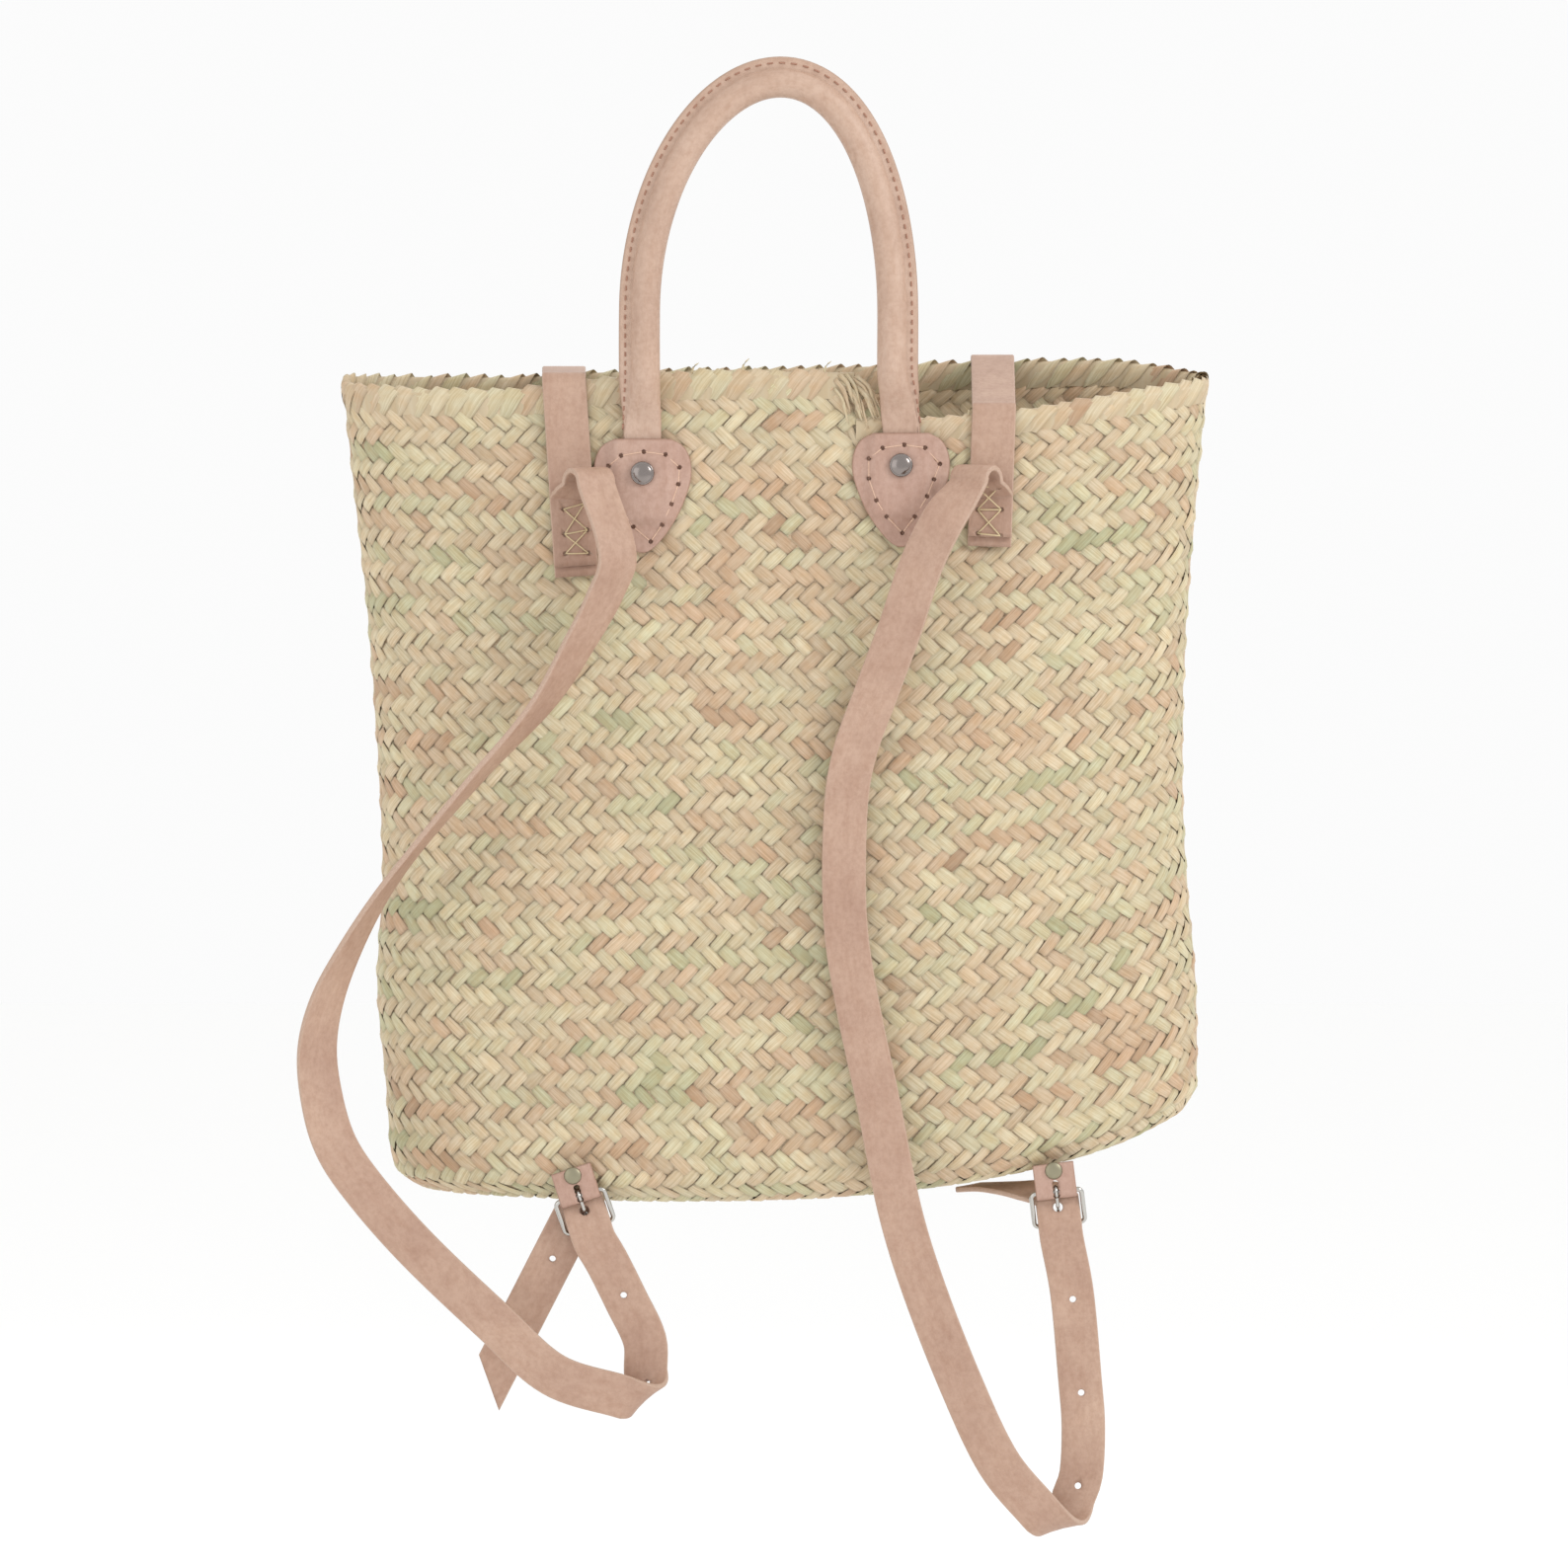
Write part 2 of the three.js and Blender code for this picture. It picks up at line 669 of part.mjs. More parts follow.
// Strap over the rim: up the near wall, across the mouth and down the far wall
function overStrapStations(side) {
  const strap = side.overStrap;
  const lift = gap * 1.6 + strapLeather / 2;
  const half = strapWidth / 2;
  const nearRim = rimClear(strap.nearRim, true, half);
  const farRim = rimClear(strap.farRim, false, half);
  const bottom = -basketHeight * strap.down;
  const stations = [];
  const push = (x, y, z) => {
    stations.push({ point: new THREE.Vector3(x, y, z), across: new THREE.Vector3(1, 0, 0) });
  };
  for (let step = 0; step <= strapWallSteps; step += 1) {
    const z = mix(bottom, nearRim, step / strapWallSteps);
    const x = overStrapMiddle(side, z);
    push(x, nearClear(x, z, half) - lift, z);
  }
  const nearX = halfMouth * strap.nearRim;
  const farX = halfMouth * strap.farRim;
  const nearY = nearClear(nearX, nearRim, half);
  const farY = farClear(farX, farRim, half);
  const cornerSteps = [1, 2, 3].map((step) => (step / 3) * Math.PI / 2);
  cornerSteps.forEach((angle) => {
    push(nearX, nearY - lift * Math.cos(angle), nearRim + lift * Math.sin(angle));
  });
  push(nearX, nearY + strawWall * 2, nearRim + lift);
  push(mix(nearX, farX, 0.5), mix(nearY, farY, 0.5), mix(nearRim, farRim, 0.5) + lift);
  push(farX, farY - strawWall * 2, farRim + lift);
  cornerSteps.slice().reverse().forEach((angle) => {
    push(farX, farY + lift * Math.cos(angle), farRim + lift * Math.sin(angle));
  });
  for (let step = 0; step <= strapWallSteps; step += 1) {
    const z = mix(farRim, bottom, step / strapWallSteps);
    push(farX, farClear(farX, z, half) + lift, z);
  }
  return stations;
}

// Middle of the strap over the rim at a height on the near wall
function overStrapMiddle(side, z) {
  const strap = side.overStrap;
  const top = rimClear(strap.nearRim, true, strapWidth / 2);
  const bottom = -basketHeight * strap.down;
  return halfMouth * mix(strap.nearEnd, strap.nearRim, (z - bottom) / (top - bottom));
}

function overStrap(side) {
  return ribbon(overStrapStations(side), strapWidth, strapLeather);
}

// Buckle frame of axes: its origin on the heel bar, u along the bar, v up, n out of the near wall
function buckleAxes(side) {
  const buckle = side.buckle;
  const x = halfMouth * buckle.across;
  const base = baseAt(buckle.across);
  const seatZ = base + buckle.seatRise;
  const reach = buckleTabWidth / 2;
  const seat = nearClear(x, seatZ, reach);
  const roll = THREE.MathUtils.degToRad(buckle.roll);
  const u = new THREE.Vector3(Math.cos(roll), 0, Math.sin(roll));
  const v = new THREE.Vector3(-Math.sin(roll), 0, Math.cos(roll));
  const n = new THREE.Vector3(0, -1, 0);
  const origin = new THREE.Vector3(x, seat - gap - buckleTabLeather - gap / 2, base + buckle.rise);
  return { matrix: new THREE.Matrix4().makeBasis(u, v, n).setPosition(origin), origin };
}

const heelToSeat = buckleTabHeight;
const tabRivetUp = heelToSeat * 0.76;
const tabBend = wireRadius + gap + buckleTabLeather / 2;
const tabPress = (buckleTabLeather + gap) / 2;
const strapAtHeel = -(wireRadius + gap * 2 + buckleTabLeather + strapLeather / 2);
const strapAtBar = wireRadius + gap + strapLeather / 2;
const framePitch = Math.atan2(strapAtBar - strapAtHeel, buckleLength) * 0.75;

// Points of the frame's plane, which is turned about the heel bar so that the strap runs straight
function framePoint(u, v, n) {
  const cosine = Math.cos(framePitch);
  const sine = Math.sin(framePitch);
  return new THREE.Vector3(u, v * cosine - n * sine, v * sine + n * cosine);
}

function buckleTab() {
  const pressed = heelToSeat * 0.44;
  const flare = heelToSeat * 0.2;
  const flareDepth = tabBend * 0.82;
  const slotTop = heelToSeat * 0.42;
  const stations = [];
  const across = new THREE.Vector3(1, 0, 0);
  const push = (v, n) => stations.push({ point: new THREE.Vector3(0, v, n), across });
  push(heelToSeat, -tabPress);
  push(pressed, -tabPress);
  push(flare, -flareDepth);
  for (let step = 0; step <= foldSteps; step += 1) {
    const angle = (step / foldSteps) * Math.PI;
    push(-Math.sin(angle) * tabBend, -Math.cos(angle) * tabBend);
  }
  push(flare, flareDepth);
  push(pressed, tabPress);
  push(heelToSeat, tabPress);
  const slotWidth = prongWire + gap * 4;
  const slot = new THREE.BoxGeometry(slotWidth, slotTop + tabBend * 2, tabBend * 4)
    .translate(0, slotTop / 2 - tabBend, 0);
  const hole = pinBetween(
    new THREE.Vector3(0, tabRivetUp, -tabBend * 2),
    new THREE.Vector3(0, tabRivetUp, tabBend * 2),
    rivetShank / 2 + gap,
  );
  return cut(ribbon(stations, buckleTabWidth, buckleTabLeather), [slot, hole]);
}

function tabRivet() {
  const through = gap + tabPress * 2 + buckleTabLeather;
  const tipRadius = rivetShank / 2 - 0.1;
  const tipLength = 0.4;
  return rivet(tabRivetHead, tabRivetDome, through, tipRadius, tipLength)
    .rotateX(Math.PI / 2)
    .translate(0, tabRivetUp, tabPress + buckleTabLeather / 2 + gap);
}

// Wire frame: a rounded rectangle whose top side is the heel bar
function buckleFrame() {
  const half = buckleWidth / 2 - wireRadius;
  const corner = wireRadius * 1.6;
  const outline = [];
  const arc = (u, v, from) => {
    for (let step = 0; step <= 3; step += 1) {
      const angle = from + (step / 3) * Math.PI / 2;
      outline.push(framePoint(u + Math.cos(angle) * corner, v + Math.sin(angle) * corner, 0));
    }
  };
  arc(half - corner, -corner, 0);
  arc(corner - half, -corner, Math.PI / 2);
  arc(corner - half, corner - buckleLength, Math.PI);
  arc(half - corner, corner - buckleLength, Math.PI * 1.5);
  const sides = 8;
  const facing = framePoint(0, 0, 1);
  const count = outline.length;
  const rings = outline.map((point, index) => {
    const ahead = outline[(index + 1) % count];
    const behind = outline[(index + count - 1) % count];
    const along = new THREE.Vector3().subVectors(ahead, behind).normalize();
    const outward = new THREE.Vector3().crossVectors(along, facing);
    const ring = [];
    for (let step = 0; step < sides; step += 1) {
      const angle = (step / sides) * Math.PI * 2;
      ring.push(point.clone()
        .addScaledVector(outward, Math.cos(angle) * wireRadius)
        .addScaledVector(facing, Math.sin(angle) * wireRadius));
    }
    return ring;
  });
  return skin([...rings, rings[0]], false);
}

// Depth of the strap's middle at a height in the buckle's own axes
function strapDepthInBuckle(v) {
  const share = Math.min(Math.max(-v / buckleLength, 0), 1);
  const bar = framePoint(0, -buckleLength, 0);
  return mix(strapAtHeel, bar.z + strapAtBar, share);
}

const prongHoleDown = -buckleLength * 0.46;

function buckleProng() {
  const ringRadius = wireRadius + gap + prongRadius;
  const ring = new THREE.TorusGeometry(ringRadius, prongRadius, 6, 12).rotateY(Math.PI / 2);
  const bar = framePoint(0, -buckleLength, 0);
  const front = strapDepthInBuckle(prongHoleDown) + strapLeather / 2 + gap + prongRadius;
  const behind = strapDepthInBuckle(prongHoleDown) - strapLeather / 2 - gap - prongRadius;
  const route = [
    new THREE.Vector3(0, -ringRadius, 0),
    new THREE.Vector3(0, prongHoleDown + prongRadius, front + gap),
    new THREE.Vector3(0, prongHoleDown - prongRadius, behind - gap),
    new THREE.Vector3(0, bar.y - wireRadius, Math.min(bar.z - wireRadius - gap - prongRadius, behind)),
  ];
  const lengths = route.slice(1).map((point, index) => {
    const along = new THREE.Vector3().subVectors(point, route[index]).normalize();
    const end = point.clone().addScaledVector(along, prongRadius * 0.4);
    return pinBetween(route[index], end, prongRadius, 8);
  });
  return join([ring, ...lengths]);
}

// Route of a shoulder strap: sewn to the strap over the rim, folded forward, down in front of the
// bag, turned back under it and up through the buckle, with its free tail behind
function routeStation(row) {
  const x = halfMouth * row.across;
  const z = -basketHeight * row.down;
  const y = -halfBelly - strapLeather - bellyDepth * row.out;
  return { point: new THREE.Vector3(x, y, z), across: widthDirection(row.turn, row.tilt) };
}

function rearStation(side, row) {
  const axes = buckleAxes(side);
  const behindTurn = turnMiddle(side) + turnRadius;
  const atBar = inBuckle(axes, 0, -buckleLength, strapDepthInBuckle(-buckleLength)).y;
  return {
    point: new THREE.Vector3(
      halfMouth * row.across,
      mix(behindTurn, atBar, row.share),
      -basketHeight * row.down,
    ),
    across: widthDirection(row.turn, row.tilt),
  };
}

function sewnStations(side) {
  const strap = side.overStrap;
  const fold = side.fold;
  const from = -basketHeight * strap.stitchedFrom;
  const to = -basketHeight * fold.down - foldRadius * 2.3;
  const stations = [];
  const steps = 4;
  for (let step = 0; step <= steps; step += 1) {
    const z = mix(from, to, step / steps);
    const x = overStrapMiddle(side, z);
    const y = nearClear(x, z, strapWidth / 2) - gap * 3 - strapLeather * 1.5;
    stations.push({ point: new THREE.Vector3(x, y, z), across: widthDirection(0, 0) });
  }
  return stations;
}

function foldStations(side, last) {
  const fold = side.fold;
  const axis = widthDirection(fold.turn, 0);
  const forward = new THREE.Vector3(axis.y, -axis.x, 0);
  const edgeReach = (share) => Math.sin(Math.abs(THREE.MathUtils.degToRad(fold.turn)) * share) * strapWidth / 2;
  const clear = edgeReach(1) + gap * 3 + foldRadius * axis.x;
  const x = halfMouth * fold.across;
  const z = -basketHeight * fold.down - foldRadius - strapLeather / 2;
  const centre = new THREE.Vector3(x, last.y - clear, z);
  const start = centre.clone().addScaledVector(forward, -foldRadius);
  const stations = [0.25, 0.5, 0.75].map((share) => ({
    point: new THREE.Vector3(
      mix(last.x, start.x, share),
      last.y - edgeReach(share) - gap * 3,
      mix(last.z, start.z, share),
    ),
    across: widthDirection(fold.turn * share, 0),
  }));
  for (let step = 0; step <= foldSteps; step += 1) {
    const angle = Math.PI * (1 - step / foldSteps);
    const point = centre.clone()
      .addScaledVector(forward, Math.cos(angle) * foldRadius)
      .add(new THREE.Vector3(0, 0, Math.sin(angle) * foldRadius));
    stations.push({ point, across: axis });
  }
  return stations;
}

function turnMiddle(side) {
  return -halfBelly - strapLeather - bellyDepth * side.turn.out;
}

function turnStations(side) {
  const turn = side.turn;
  const angle = THREE.MathUtils.degToRad(turn.angle);
  const axis = new THREE.Vector3(Math.cos(angle), 0, Math.sin(angle));
  const down = new THREE.Vector3(Math.sin(angle), 0, -Math.cos(angle));
  const extreme = new THREE.Vector3(halfMouth * turn.across, turnMiddle(side), -basketHeight * turn.down);
  const centre = extreme.clone().addScaledVector(down, -turnRadius);
  const stations = [];
  for (let step = 0; step <= foldSteps; step += 1) {
    const bend = Math.PI * (step / foldSteps);
    const point = centre.clone()
      .addScaledVector(down, Math.sin(bend) * turnRadius)
      .add(new THREE.Vector3(0, -Math.cos(bend) * turnRadius, 0));
    stations.push({ point, across: axis });
  }
  return stations;
}

function inBuckle(axes, u, v, n) {
  return new THREE.Vector3(u, v, n).applyMatrix4(axes.matrix);
}

function buckleStations(side) {
  const axes = buckleAxes(side);
  const across = new THREE.Vector3().setFromMatrixColumn(axes.matrix, 0);
  const bar = framePoint(0, -buckleLength, 0);
  const heights = [bar.y - buckleLength * 0.4, bar.y, bar.y * 0.72, prongHoleDown, bar.y * 0.3, -tailTurnDrop];
  return heights.map((v) => {
    const straight = v < bar.y ? (v - bar.y) * 0.2 : 0;
    return { point: inBuckle(axes, 0, v, strapDepthInBuckle(v) + straight), across };
  });
}

// Left tail: over itself behind the heel bar and down to the left, cut to a point
function leftTail(side) {
  const axes = buckleAxes(side);
  const stations = [];
  const steps = 4;
  for (let step = 1; step <= steps; step += 1) {
    const bend = Math.PI * (step / steps);
    const across = widthDirection(0, mix(side.buckle.roll, -tailLean, step / steps));
    stations.push({
      point: inBuckle(
        axes,
        0,
        Math.sin(bend) * tailTurnRadius - tailTurnDrop,
        strapDepthInBuckle(-tailTurnDrop) + (Math.cos(bend) - 1) * tailTurnRadius,
      ),
      across,
    });
  }
  const start = stations[steps - 1].point;
  const lean = THREE.MathUtils.degToRad(tailLean);
  const along = new THREE.Vector3(-Math.sin(lean), tailBack, -Math.cos(lean));
  const flat = widthDirection(0, -tailLean);
  [0.12, 0.34, 0.56, 0.79, 1].forEach((share) => {
    stations.push({ point: start.clone().addScaledVector(along, tailLength * share), across: flat });
  });
  return stations;
}

// Right tail: back and to the left under the base, its front edge hanging lower
function rightTail(side) {
  const origin = buckleAxes(side).origin;
  const rows = [
    { aside: 0.0, back: 1.1, drop: 1.0, turn: 4, tilt: 4 },
    { aside: 0.08, back: 1.5, drop: 0.75, turn: 30, tilt: 16 },
    { aside: 0.22, back: 1.75, drop: 0.6, turn: 62, tilt: 22 },
    { aside: 0.42, back: 1.9, drop: 0.35, turn: 76, tilt: 10 },
    { aside: 0.7, back: 2.1, drop: 0.16, turn: 82, tilt: 2 },
    { aside: 1.0, back: 2.3, drop: 0.16, turn: 84, tilt: 2 },
  ];
  return rows.map((row) => {
    const x = origin.x - underTail * row.aside;
    const y = origin.y + baseEdgeRadius * row.back * 0.5;
    const z = baseAt(x / halfMouth) - gap - strapLeather / 2 - strapWidth * row.drop / 2;
    return { point: new THREE.Vector3(x, y, z), across: widthDirection(row.turn, row.tilt) };
  });
}

function shoulderStrapStations(side) {
  const sewn = sewnStations(side);
  const stations = [
    ...sewn,
    ...foldStations(side, sewn[sewn.length - 1].point),
    ...side.route.map(routeStation),
    ...turnStations(side),
    ...side.rear.map((row) => rearStation(side, row)),
    ...buckleStations(side),
    ...(side.sign < 0 ? leftTail(side) : rightTail(side)),
  ];
  return resample(stations, stationSpacing);
}

// Punched holes: a row of them on both sides of the one that the prong goes through
function strapHoles(side, stations) {
  const axes = buckleAxes(side);
  const middle = inBuckle(axes, 0, prongHoleDown, strapDepthInBuckle(prongHoleDown));
  let used = 0;
  stations.forEach((station, index) => {
    if (station.point.distanceTo(middle) < stations[used].point.distanceTo(middle)) used = index;
  });
  const lengths = [0];
  stations.slice(1).forEach((station, index) => {
    lengths.push(lengths[index] + station.point.distanceTo(stations[index].point));
  });
  const places = side.sign < 0 ? [-2, -1, 0, 1] : [-3, -2, -1, 0];
  return places.map((place) => {
    const wanted = lengths[used] + place * holePitch;
    let index = 0;
    while (index < lengths.length - 2 && lengths[index + 1] < wanted) index += 1;
    const share = (wanted - lengths[index]) / (lengths[index + 1] - lengths[index]);
    const start = stations[index];
    const end = stations[index + 1];
    const point = place === 0 ? middle : start.point.clone().lerp(end.point, share);
    const along = new THREE.Vector3().subVectors(end.point, start.point).normalize();
    const facing = new THREE.Vector3().crossVectors(along, start.across).normalize();
    const radius = place === 0 ? strapHole / 2 + gap * 2.4 : strapHole / 2;
    const reach = strapLeather * 1.2;
    return pinBetween(
      point.clone().addScaledVector(facing, -reach),
      point.clone().addScaledVector(facing, reach),
      radius,
      10,
    );
  });
}

function shoulderStrap(side) {
  const stations = shoulderStrapStations(side);
  const endCut = side.sign < 0 ? tailPoint : 0;
  return cut(ribbon(stations, strapWidth, strapLeather, endCut), strapHoles(side, stations));
}

// Materials
function leather(colour) {
  return new THREE.MeshStandardMaterial({ color: colour, roughness: 0.62, metalness: 0 });
}

const straw = new THREE.MeshStandardMaterial({ color: 0xd9c39a, roughness: 0.75, metalness: 0 });
const nickel = new THREE.MeshStandardMaterial({ color: 0xc8c8c6, roughness: 0.22, metalness: 1 });
const dullMetal = new THREE.MeshStandardMaterial({ color: 0x9a9a82, roughness: 0.5, metalness: 0.8 });
const strapTone = 0xc09c88;
const tabTone = 0xc9a394;
const handleTone = 0xd6b8a5;

function piece(name, geometry, material) {
  const mesh = new THREE.Mesh(geometry, material);
  mesh.name = name;
  return mesh;
}

// Assembly
const hangPoint = new THREE.Vector3(
  handleShift + handleLean,
  handlePlane,
  handleRise - tubeRadius,
);

const bag = new THREE.Group();
bag.position.copy(hangPoint).negate();

const rivetHoles = sides.map((side) => {
  const centre = handleRivetCentre(side);
  const front = new THREE.Vector3(centre.x, centre.face - 20, centre.z);
  const back = new THREE.Vector3(centre.x, centre.face + strawWall * 3, centre.z);
  return pinBetween(front, back, rivetShank / 2 + gap);
});

bag.add(piece("basket_body", basketBody(rivetHoles), straw));
bag.add(piece("handle", handle(rivetHoles), leather(handleTone)));

sides.forEach((side, index) => {
  const centre = handleRivetCentre(side);
  const dome = piece(`handle_rivet_${side.name}`, handleRivet(), nickel);
  dome.position.set(centre.x, centre.face - handleRivetSeat, centre.z);
  bag.add(piece(`handle_tab_${side.name}`, handleTab(side, [rivetHoles[index]]), leather(tabTone)));
  bag.add(dome);
  bag.add(piece(`over_strap_${side.name}`, overStrap(side), leather(strapTone)));
  bag.add(piece(`shoulder_strap_${side.name}`, shoulderStrap(side), leather(strapTone)));
  const fastening = new THREE.Group();
  fastening.applyMatrix4(buckleAxes(side).matrix);
  fastening.add(piece(`buckle_tab_${side.name}`, buckleTab(), leather(tabTone)));
  fastening.add(piece(`tab_rivet_${side.name}`, tabRivet(), dullMetal));
  fastening.add(piece(`buckle_frame_${side.name}`, buckleFrame(), nickel));
  fastening.add(piece(`buckle_prong_${side.name}`, buckleProng(), nickel));
  bag.add(fastening);
});

const backpack = new THREE.Group();
backpack.add(bag);

export default backpack;
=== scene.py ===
# %% [markdown]
# # A woven straw backpack with leather straps
# The bag hangs by its rolled handle before a pale backdrop. Its body is a soft basket of plaited palm
# straw, and two leather straps with small buckles loop from its rim to its base. Sizes are those of the
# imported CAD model. This lesson builds the finer surfaces over it with numpy, one kind of piece to a cell.

import bpy
import numpy as np
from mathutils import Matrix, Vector


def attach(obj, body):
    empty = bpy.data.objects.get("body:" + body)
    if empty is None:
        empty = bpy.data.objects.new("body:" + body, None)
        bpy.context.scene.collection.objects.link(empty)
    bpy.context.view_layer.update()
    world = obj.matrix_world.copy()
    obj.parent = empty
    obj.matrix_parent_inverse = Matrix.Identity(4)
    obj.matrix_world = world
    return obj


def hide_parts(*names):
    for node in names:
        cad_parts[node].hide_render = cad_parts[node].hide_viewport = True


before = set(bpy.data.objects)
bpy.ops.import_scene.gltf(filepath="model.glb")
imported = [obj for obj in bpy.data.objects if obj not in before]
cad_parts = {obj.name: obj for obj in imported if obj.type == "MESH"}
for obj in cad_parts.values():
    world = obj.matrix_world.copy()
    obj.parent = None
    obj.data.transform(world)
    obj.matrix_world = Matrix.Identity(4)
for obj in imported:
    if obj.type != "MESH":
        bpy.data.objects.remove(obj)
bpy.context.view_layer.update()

# %% [markdown]
# ## Sizes and a smooth reader of tables
# A hand-made bag has few exact lines, so its shape is kept as short tables of shares: one row for each
# place that was measured. A cubic through the rows gives every height between them. All lengths are in
# millimetres and become metres only when a mesh is made, which keeps the numbers easy to read.

# %% Named sizes and tables
METRES = 0.001
HALF_MOUTH, HEIGHT, HALF_BELLY = 199.5, 377.0, 61.0
EDGE_RADIUS, SECTION_POWER, BRAID_STEP, STEP_ACROSS = 18.0, 2.4, 20.0, 0.185
HANDLE_SPAN, HANDLE_RISE, HANDLE_ARCH, HANDLE_LEAN, HANDLE_SHIFT = 112.5, 135.0, 105.0, 5.4, -2.7
TUBE_RADIUS, LEFT_TAB_DOWN, GAP = 6.8, 0.0715, 0.3
RNG = np.random.default_rng(7)

SECTIONS = {
    "down": [0, 0.14, 0.26, 0.38, 0.5, 0.62, 0.74, 0.86, 1],
    "left": [1, 0.972, 0.947, 0.929, 0.915, 0.909, 0.922, 0.903, 0.885],
    "right": [1, 0.976, 0.958, 0.947, 0.945, 0.956, 0.976, 0.979, 0.975],
    "depth": [0.72, 0.81, 0.88, 0.94, 0.98, 1, 1, 1, 0.98],
}
RIM = {
    "across": [-1, -0.6, -0.42, -0.15, 0.15, 0.37, 0.58, 0.78, 1],
    "near": [-0.2, -0.25, 0, 0.16, 0.16, 0.16, 0.34, 0.66, 1],
    "far": [0, -0.05, 0.05, 0.1, 0.16, 0.25, 0.3, 0.34, 0.05],
}
BASE = {
    "across": [-1, -0.8, -0.2, 0.2, 0.5, 0.72, 0.86, 1],
    "lift": [0.008, 0.004, 0, 0.006, 0.022, 0.044, 0.064, 0.094],
}
DENTS = {
    "across": [-0.03, 0.09, -0.66, 0.55, -0.5],
    "down": [0.5, 0.52, 0.16, 0.62, 0.66],
    "wide": [0.1, 0.07, 0.09, 0.2, 0.18],
    "tall": [0.26, 0.26, 0.06, 0.2, 0.16],
    "depth": [0.046, -0.02, 0.016, -0.01, -0.01],
}


def follow(rows, key, column, at):
    """Cubic Hermite curve through a table: y = h00 y0 + h10 m0 + h01 y1 + h11 m1, chord slopes m."""
    k, c = np.array(rows[key], float), np.array(rows[column], float)
    at = np.clip(np.asarray(at, float), k[0], k[-1])
    row = np.clip(np.searchsorted(k, at) - 1, 0, len(k) - 2)
    index = np.arange(len(k))
    ahead, behind = np.minimum(index + 1, len(k) - 1), np.maximum(index - 1, 0)
    slope = (c[ahead] - c[behind]) / (k[ahead] - k[behind])
    span = k[row + 1] - k[row]
    t = (at - k[row]) / span
    start = (2 * t**3 - 3 * t**2 + 1) * c[row] + (t**3 - 2 * t**2 + t) * span * slope[row]
    return start + (3 * t**2 - 2 * t**3) * c[row + 1] + (t**3 - t**2) * span * slope[row + 1]


def smooth(t):
    """Smoothstep: 3t² − 2t³ between 0 and 1."""
    t = np.clip(t, 0, 1)
    return t * t * (3 - 2 * t)


def unit(vectors):
    """Vectors scaled to length 1."""
    return vectors / np.maximum(np.linalg.norm(vectors, axis=-1, keepdims=True), 1e-9)


def length_along(centres):
    """Distance along the line through the centres, from the first of them to each."""
    return np.append(0, np.cumsum(np.linalg.norm(np.diff(centres, axis=0), axis=1)))


print("half width in the middle, mm:", round(float(HALF_MOUTH * follow(SECTIONS, "down", "right", 0.5)), 1))

# %% [markdown]
# ## The basket's surface
# Seen from above, the bag is a flattened oval: a superellipse, |x/a|ⁿ + |y/b|ⁿ = 1 with n = 2.4. Its
# wall runs down to a rounded edge and in under the base. A single function of the angle and the
# distance down this profile gives every point, and finite differences of it give the normals.

# %% Surface of the basket
def half_width(z, across):
    down = -z / HEIGHT
    left, right = follow(SECTIONS, "down", "left", down), follow(SECTIONS, "down", "right", down)
    return HALF_MOUTH * np.where(across < 0, left, right)


def half_depth(z):
    return HALF_BELLY * follow(SECTIONS, "down", "depth", -z / HEIGHT)


def base_at(across):
    return HEIGHT * (follow(BASE, "across", "lift", across) - 1)


def dent_at(across, down):
    """Sum of Gaussian pushes: d·exp(−(Δa/w)² − (Δd/t)²), inward when positive."""
    total = 0 * across
    for a, d, w, t, depth in zip(*DENTS.values()):
        total = total + 2 * HALF_BELLY * depth * np.exp(-(((across - a) / w) ** 2) - ((down - d) / t) ** 2)
    return total


def oval(angle):
    """Superellipse: (sgn cos · |cos|^(2/n), sgn sin · |sin|^(2/n))."""
    power = 2 / SECTION_POWER
    c, s = np.cos(angle), np.sin(angle)
    return np.sign(c) * np.abs(c) ** power, np.sign(s) * np.abs(s) ** power


def near_face(x, z):
    """The near wall's y at x and z, with its rounded lower edge and its dents."""
    height = z - base_at(x / half_width(z, x))
    below = np.clip(EDGE_RADIUS - height, 0, EDGE_RADIUS)
    inset = EDGE_RADIUS - np.sqrt(EDGE_RADIUS**2 - below**2)
    across = x / (half_width(z, x) - inset)
    bulge = np.clip(1 - np.abs(across) ** SECTION_POWER, 0, 1) ** (1 / SECTION_POWER)
    return dent_at(across, -z / HEIGHT) * np.sqrt(bulge) - (half_depth(z) - inset) * bulge


HANDLE_PLANE = float(near_face(HANDLE_SPAN / 2, -HEIGHT * LEFT_TAB_DOWN)) - GAP - TUBE_RADIUS
HANG_POINT = np.array([HANDLE_SHIFT + HANDLE_LEAN, HANDLE_PLANE, HANDLE_RISE - TUBE_RADIUS])
print("the handle's plane, mm:", round(HANDLE_PLANE, 2))

# %% [markdown]
# ## Rows of the braid
# The basket is one long plait, about two rows of floats wide, sewn round and round in a spiral. Its
# rows therefore climb by one plait in each turn, and the plait's cut end leaves a step in the rim. The
# weave is laid out on a flat lattice: u runs round the bag from that step, v runs down the rows.

